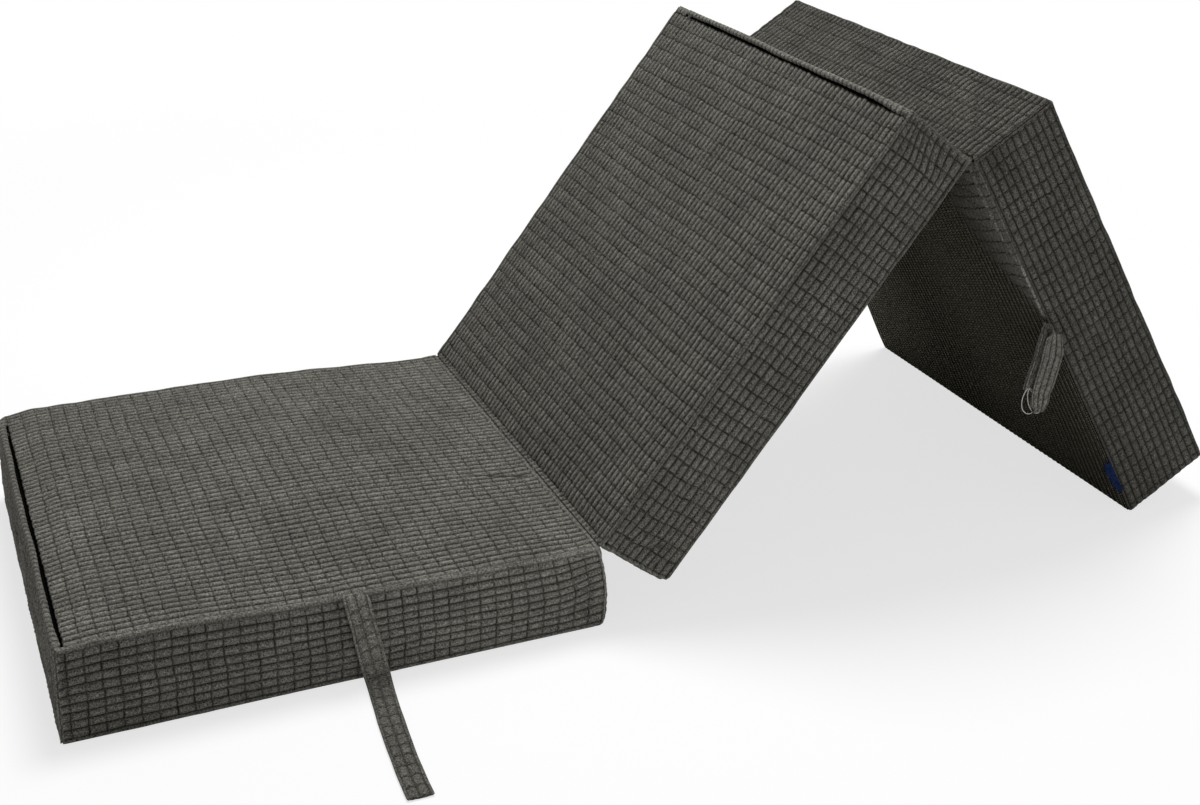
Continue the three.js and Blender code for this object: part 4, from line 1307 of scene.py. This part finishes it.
def long_strap():
    """The long tie strap, out of the seam, down the band and forwards along the floor."""
    half = STRAP_THICKNESS / 2
    root_y, inward = root_place(STRAP_THICKNESS)
    hang = SIDE_DRAW_IN - SIDE_BULGE - STRAP_CLEARANCE - half - STRAP_STAND_OFF
    floor = STRAP_CLEARANCE + half
    root = LEFT_HEIGHT + LEFT_STRAP_LIFT
    side = [(root_y, root - inward), (hang, root - EDGE_RADIUS), (hang, floor + STRAP_BEND_RADIUS)]
    centre = (hang - STRAP_BEND_RADIUS, floor + STRAP_BEND_RADIUS)
    side += arc_points(centre, STRAP_BEND_RADIUS, 0, -math.pi / 2, 8)
    side.append((-STRAP_FLOOR_REACH, floor))
    side = np.array(side)
    line, _ = even_line(side, STRAP_STEP)
    reach = unit(-line[:, 0] / STRAP_FLOOR_REACH)
    drift = STRAP_SIDE_DRIFT * (1 - line[:, 1] / LEFT_HEIGHT) - STRAP_FLOOR_DRIFT * (1 - (1 - reach) ** 1.5)
    line = np.column_stack([STRAP_PLACE + drift, line])
    even, lengths = even_line(softened_line(line, 60), STRAP_STEP)
    width = STRAP_WIDTH * (1 - (1 - STRAP_FLOOR_SHARE) * smooth_step(lengths, 0.09, 0.15))
    across = np.tile([1.0, 0.0, 0.0], (len(even), 1))
    across[:, 1] = 0.22 * smooth_step(lengths, 0.12, 0.02)
    # Painted light: the strap is painted lighter where it hangs down the band and darker where it lies on the
    # floor under the overhead light.
    naps = 1.10 - 0.44 * smooth_step(lengths, 0.09, 0.16)
    middle = placed(even, LEFT.place)
    piece = strap_mesh("long_strap", middle, across, width, lengths, naps, STRAP_COLUMNS, 21)
    dress(piece, "long_strap", "strap_plush", "long_tie_strap", materials=(STRAP_PLUSH,))


def bundle_axes():
    """Straight down and level, in the right section's own frame."""
    slope = BEND - LEAN
    return np.array([math.sin(slope), 0, -math.cos(slope)]), np.array([math.cos(slope), 0, math.sin(slope)])


def bundle_point(across, y, z):
    """A point of the hanging bundle, from its places across, in depth, and over the seam."""
    down, level = bundle_axes()
    return np.array([BUNDLE_PLACE, y, 0]) + level * across - down * z


def bundle_layers():
    """The middle of each of the bundle's four layers in depth, and the strap's folded line through them."""
    pitch = STRAP_THICKNESS + LAYER_GAP
    depth = [-BUNDLE_STANDOFF - STRAP_THICKNESS / 2 - pitch * layer for layer in range(4)]
    high = -BUNDLE_TOP_TURN
    back_low = -BUNDLE_BACK_DROP
    low = -BUNDLE_DROP + STRAP_THICKNESS / 2 + pitch / 2
    root_y, _ = root_place(STRAP_THICKNESS)
    side = [(root_y, -0.002), (depth[0], high / 2), (depth[0], back_low)]
    side += arc_points((depth[0] - pitch / 2, back_low), pitch / 2, 0, -math.pi, 8)
    side += [(depth[1], high)]
    side += arc_points((depth[1] - pitch, high), pitch, 0, math.pi, 10)
    side += [(depth[3], low)]
    side += arc_points((depth[3] + pitch / 2, low), pitch / 2, -math.pi, 0, 8)
    side += [(depth[2], -BUNDLE_TAIL_DROP)]
    return depth, side


def bundled_strap():
    """The second tie strap, folded into layers that hang down from the sloping edge; its end lies inside."""
    _, level = bundle_axes()
    depth, side = bundle_layers()
    even, lengths = even_line(side, STRAP_STEP)
    even, lengths = even_line(softened_line(even, 4), STRAP_STEP)
    drop = -even[:, 1]
    front = smooth_step(-even[:, 0], -depth[1], -depth[2])
    centre = np.interp(drop, BUNDLE_DROPS, BUNDLE_CENTRES)
    centre = centre - (1 - front) * BUNDLE_FAN * unit(drop / BUNDLE_BACK_DROP)
    centre = centre + BUNDLE_END_SHIFT * smooth_step(lengths, lengths[-1] - 0.082, lengths[-1] - 0.050)
    line = np.array([bundle_point(a, y, z) for a, (y, z) in zip(centre, even)])
    share = smooth_step(drop, 0, BUNDLE_SPREAD_DROP)
    width = BUNDLE_ROOT_WIDTH + (STRAP_WIDTH - BUNDLE_ROOT_WIDTH) * share
    narrower = sum(amount * smooth_step(drop, start, end) for amount, start, end in BUNDLE_NARROWINGS)
    width = width * (1 - narrower)
    across = (1 - share)[:, None] * np.array([1, 0, 0]) + share[:, None] * level
    across = across @ np.array(RIGHT.place)[:3, :3].T
    # Painted light: the back layers, which lie in the front layer's shadow, are painted a little lighter than
    # the front layer.
    naps = 1.20 - 0.08 * front
    middle = placed(line, RIGHT.place)
    piece = strap_mesh("bundled_strap", middle, across, width, lengths, naps, BUNDLE_COLUMNS, 34)
    dress(piece, "bundled_strap", "strap_plush", "bundled_tie_strap", materials=(STRAP_PLUSH,))


def nylon_loop(name, node_name, outline):
    """A clear nylon loop round the bundle's folds; its outline is given across and over the seam."""
    depth = -BUNDLE_STANDOFF - 2.2 * STRAP_THICKNESS
    points = placed(np.array([bundle_point(a + NYLON_SHIFT, depth, z) for a, z in outline]), RIGHT.place)
    curve = bpy.data.curves.new(name, "CURVE")
    set_all(curve, {"dimensions": "3D", "bevel_depth": NYLON_RADIUS, "bevel_resolution": 3})
    curve.resolution_u = 8
    spline = curve.splines.new("NURBS")
    spline.points.add(len(points) - 1)
    for point, place in zip(spline.points, points):
        point.co = (*place, 1)
    spline.use_cyclic_u = True
    spline.order_u = 3
    make_active(linked(name, curve))
    bpy.ops.object.convert(target="MESH")
    piece = bpy.context.object
    bpy.ops.object.shade_smooth()
    dress(piece, "bundled_strap", "clear_nylon", node_name, materials=(NYLON,))


def side_label():
    """The bare navy label, sewn into the right section's lower front edge and hanging over it."""
    root_y, inward = root_place(LABEL_THICKNESS)
    half = LABEL_THICKNESS / 2
    hang = -STRAP_CLEARANCE - half
    side = even_line(np.array([(root_y, inward + 0.001), (hang, -half), (hang, -LABEL_DROP)]), 0.001)[0]
    x = LABEL_PLACE + LABEL_LENGTH * (np.linspace(0, 1, 31) - 0.5)
    flutter = 0.0004 * np.sin(np.linspace(0, 9, len(x)))[:, None]
    flutter = flutter * smooth_step(-side[:, 1], 0, LABEL_DROP)[None]
    taper = 1 - 0.6 * np.linspace(0, 1, len(x))[:, None] ** 2
    drop = np.where(side[:, 1] < 0, side[:, 1] * taper, side[:, 1])
    points = [np.broadcast_to(x[:, None], flutter.shape), side[:, 0][None] + flutter, drop]
    grid = placed(np.stack(points, -1), RIGHT.place)
    piece = flat_cloth("side_label_cloth", grid, (x, -side[:, 1]), LABEL_THICKNESS, LABEL_CLOTH)
    dress(piece, "right_section", "label_cloth", "side_label")


def fold_strip(fold, place, up, ways, sink, sections, material):
    """The sewn strip that bridges a fold: it lies in the furrow between two sections and follows both."""
    y = np.linspace(0.004, SECTION_WIDTH - 0.004, 361)
    rib = from_rib(y / RIB_PITCH) ** RIB_ROUND_POWER
    end = np.minimum(y, SECTION_WIDTH - y)
    shares = np.linspace(-1, 1, 11)
    points, tones = [], []
    for share in shares:
        way = np.array(ways[1] if share > 0 else ways[0])
        depth = sink[0] + (sink[1] - sink[0]) * abs(share) + 0.0007 * rib * abs(share)
        depth = depth + 0.002 * smooth_step(end, 0.006, 0)
        centre = np.array(place) + way * abs(share) * FOLD_STRIP_REACH
        row = centre[None] - np.array(up)[None] * depth[:, None]
        row[:, 1] = y - SECTION_WIDTH / 2
        points.append(row)
        # Painted shade: dark along the middle of the fold's furrow and between the ribs.
        tones.append(unit(hump(share, 0, 0.16) + 0.9 * rib))
    tones = np.array(tones).ravel()
    values = {"hollow": tones, "nap": np.ones(len(tones))}
    lines = (shares * FOLD_STRIP_REACH, y)
    piece = flat_cloth(f"{fold}_strip", np.array(points), lines, FOLD_STRIP_THICKNESS, material, **values)
    face_outward(piece)
    bpy.ops.object.shade_smooth()
    start, end = (Vector(place) + Vector(way) * FOLD_STRIP_REACH for way in ways)
    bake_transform(piece)
    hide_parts(f"{fold}_seam_roll", *(f"{fold}_allowance_{section}" for section in sections))


def fold_strips():
    """The strips lie halfway between the surfaces that meet at each fold."""
    slope = BEND - LEAN
    fold_strip(
        "fold_one", FOLD_ONE, (-math.sin(LEAN / 2), 0, math.cos(LEAN / 2)),
        ((-1, 0, 0), (math.cos(LEAN), 0, math.sin(LEAN))),
        (0.0012, 0.0038), ("left", "middle"), FOLD_PLUSH,
    )
    middle = (slope - LEAN) / 2
    fold_strip(
        "fold_two", FOLD_TWO, (-math.sin(middle), 0, -math.cos(middle)),
        ((-math.cos(LEAN), 0, -math.sin(LEAN)), (math.cos(slope), 0, -math.sin(slope))),
        (0.0021, 0.0006), ("middle", "right"), BASE_CLOTH,
    )


def make_camera():
    data = bpy.data.cameras.new("camera")
    set_all(data, {"lens": CAMERA_LENS, "sensor_width": SENSOR_WIDTH, "clip_end": 50})
    camera = linked("camera", data)
    ahead = Vector((
        math.sin(CAMERA_YAW) * math.cos(CAMERA_PITCH), math.cos(CAMERA_YAW) * math.cos(CAMERA_PITCH),
        -math.sin(CAMERA_PITCH),
    ))
    level = Vector((math.cos(CAMERA_YAW), -math.sin(CAMERA_YAW), 0))
    up = level.cross(ahead)
    right = level * math.cos(CAMERA_ROLL) + up * math.sin(CAMERA_ROLL)
    top = up * math.cos(CAMERA_ROLL) - level * math.sin(CAMERA_ROLL)
    turn = Matrix((right, top, -ahead)).transposed()
    camera.matrix_world = Matrix.Translation(CAMERA_PLACE) @ turn.to_4x4()
    bpy.context.scene.camera = camera


def seen_directly(tree):
    """1 for camera, glossy and transmission rays, and 0 for the rays that light the object."""
    camera, glossy, through = (
        node(tree, "LightPath", output=f"Is {ray} Ray") for ray in ("Camera", "Glossy", "Transmission")
    )
    return math_node(tree, "MAXIMUM", math_node(tree, "MAXIMUM", camera, glossy), through)


def make_world():
    world = bpy.data.worlds.new("studio")
    bpy.context.scene.world = world
    world.use_nodes = True
    tree = world.node_tree
    strength = map_range(tree, seen_directly(tree), 0, 1, WORLD_LIGHT, 1)
    feed(tree, tree.nodes["Background"], {"Color": (1, 1, 1, 1), "Strength": strength})


def make_floor():
    """A pale floor that keeps the object's shadow and shows as white, more so away from the object."""
    bpy.ops.mesh.primitive_plane_add(size=16, location=(0, 0, 0))
    floor = bpy.context.object
    floor.name = "floor"
    material, tree, surface = new_material("pale floor")
    seen = seen_directly(tree)
    feed(tree, surface, {
        "Base Color": map_range(tree, seen, 0, 1, *FLOOR_TONES), "Roughness": 0.9, "Specular IOR Level": 0,
        "Emission Color": (1, 1, 1, 1), "Emission Strength": math_node(tree, "MULTIPLY", seen, FLOOR_GLOW),
    })
    place = node(tree, "TexCoord", output="Object")
    away = node(tree, "VectorMath", (place,), output="Value", operation="LENGTH")
    fade = map_range(tree, away, *FLOOR_FADE, 0, 1, interpolation_type="SMOOTHSTEP")
    share = math_node(tree, "MULTIPLY", fade, seen)
    white = node(tree, "Emission", {"Strength": 1})
    mix = node(tree, "MixShader", (share, surface.outputs["BSDF"], white))
    feed(tree, tree.nodes["Material Output"], {"Surface": mix})
    floor.data.materials.append(material)


def area_light(name, place, target, size, power):
    data = bpy.data.lights.new(name, "AREA")
    set_all(data, {"shape": "DISK", "size": size, "energy": power})
    lamp = linked(name, data)
    lamp.location = place
    lamp.rotation_euler = (Vector(target) - Vector(place)).to_track_quat("-Z", "Y").to_euler()


make_camera()
make_world()
make_floor()
area_light("overhead", (0.95, 0.9, 3.9), (0.45, 0.1, 0.2), 1.8, 116)
area_light("front fill", (0.2, -3.2, 1.1), (0.35, 0, 0.2), 1.6, 10)

for section in (LEFT, MIDDLE, RIGHT):
    cover(section)
    lip(section)
    zip_coil(section)
    dress_zip(section)
long_strap()
bundled_strap()
nylon_loop("clear_loop_1", "nylon_loop_outer", NYLON_OUTLINES[0])
nylon_loop("clear_loop_2", "nylon_loop_inner", NYLON_OUTLINES[1])
side_label()
fold_strips()

bpy.context.scene.view_settings.view_transform = "Standard"
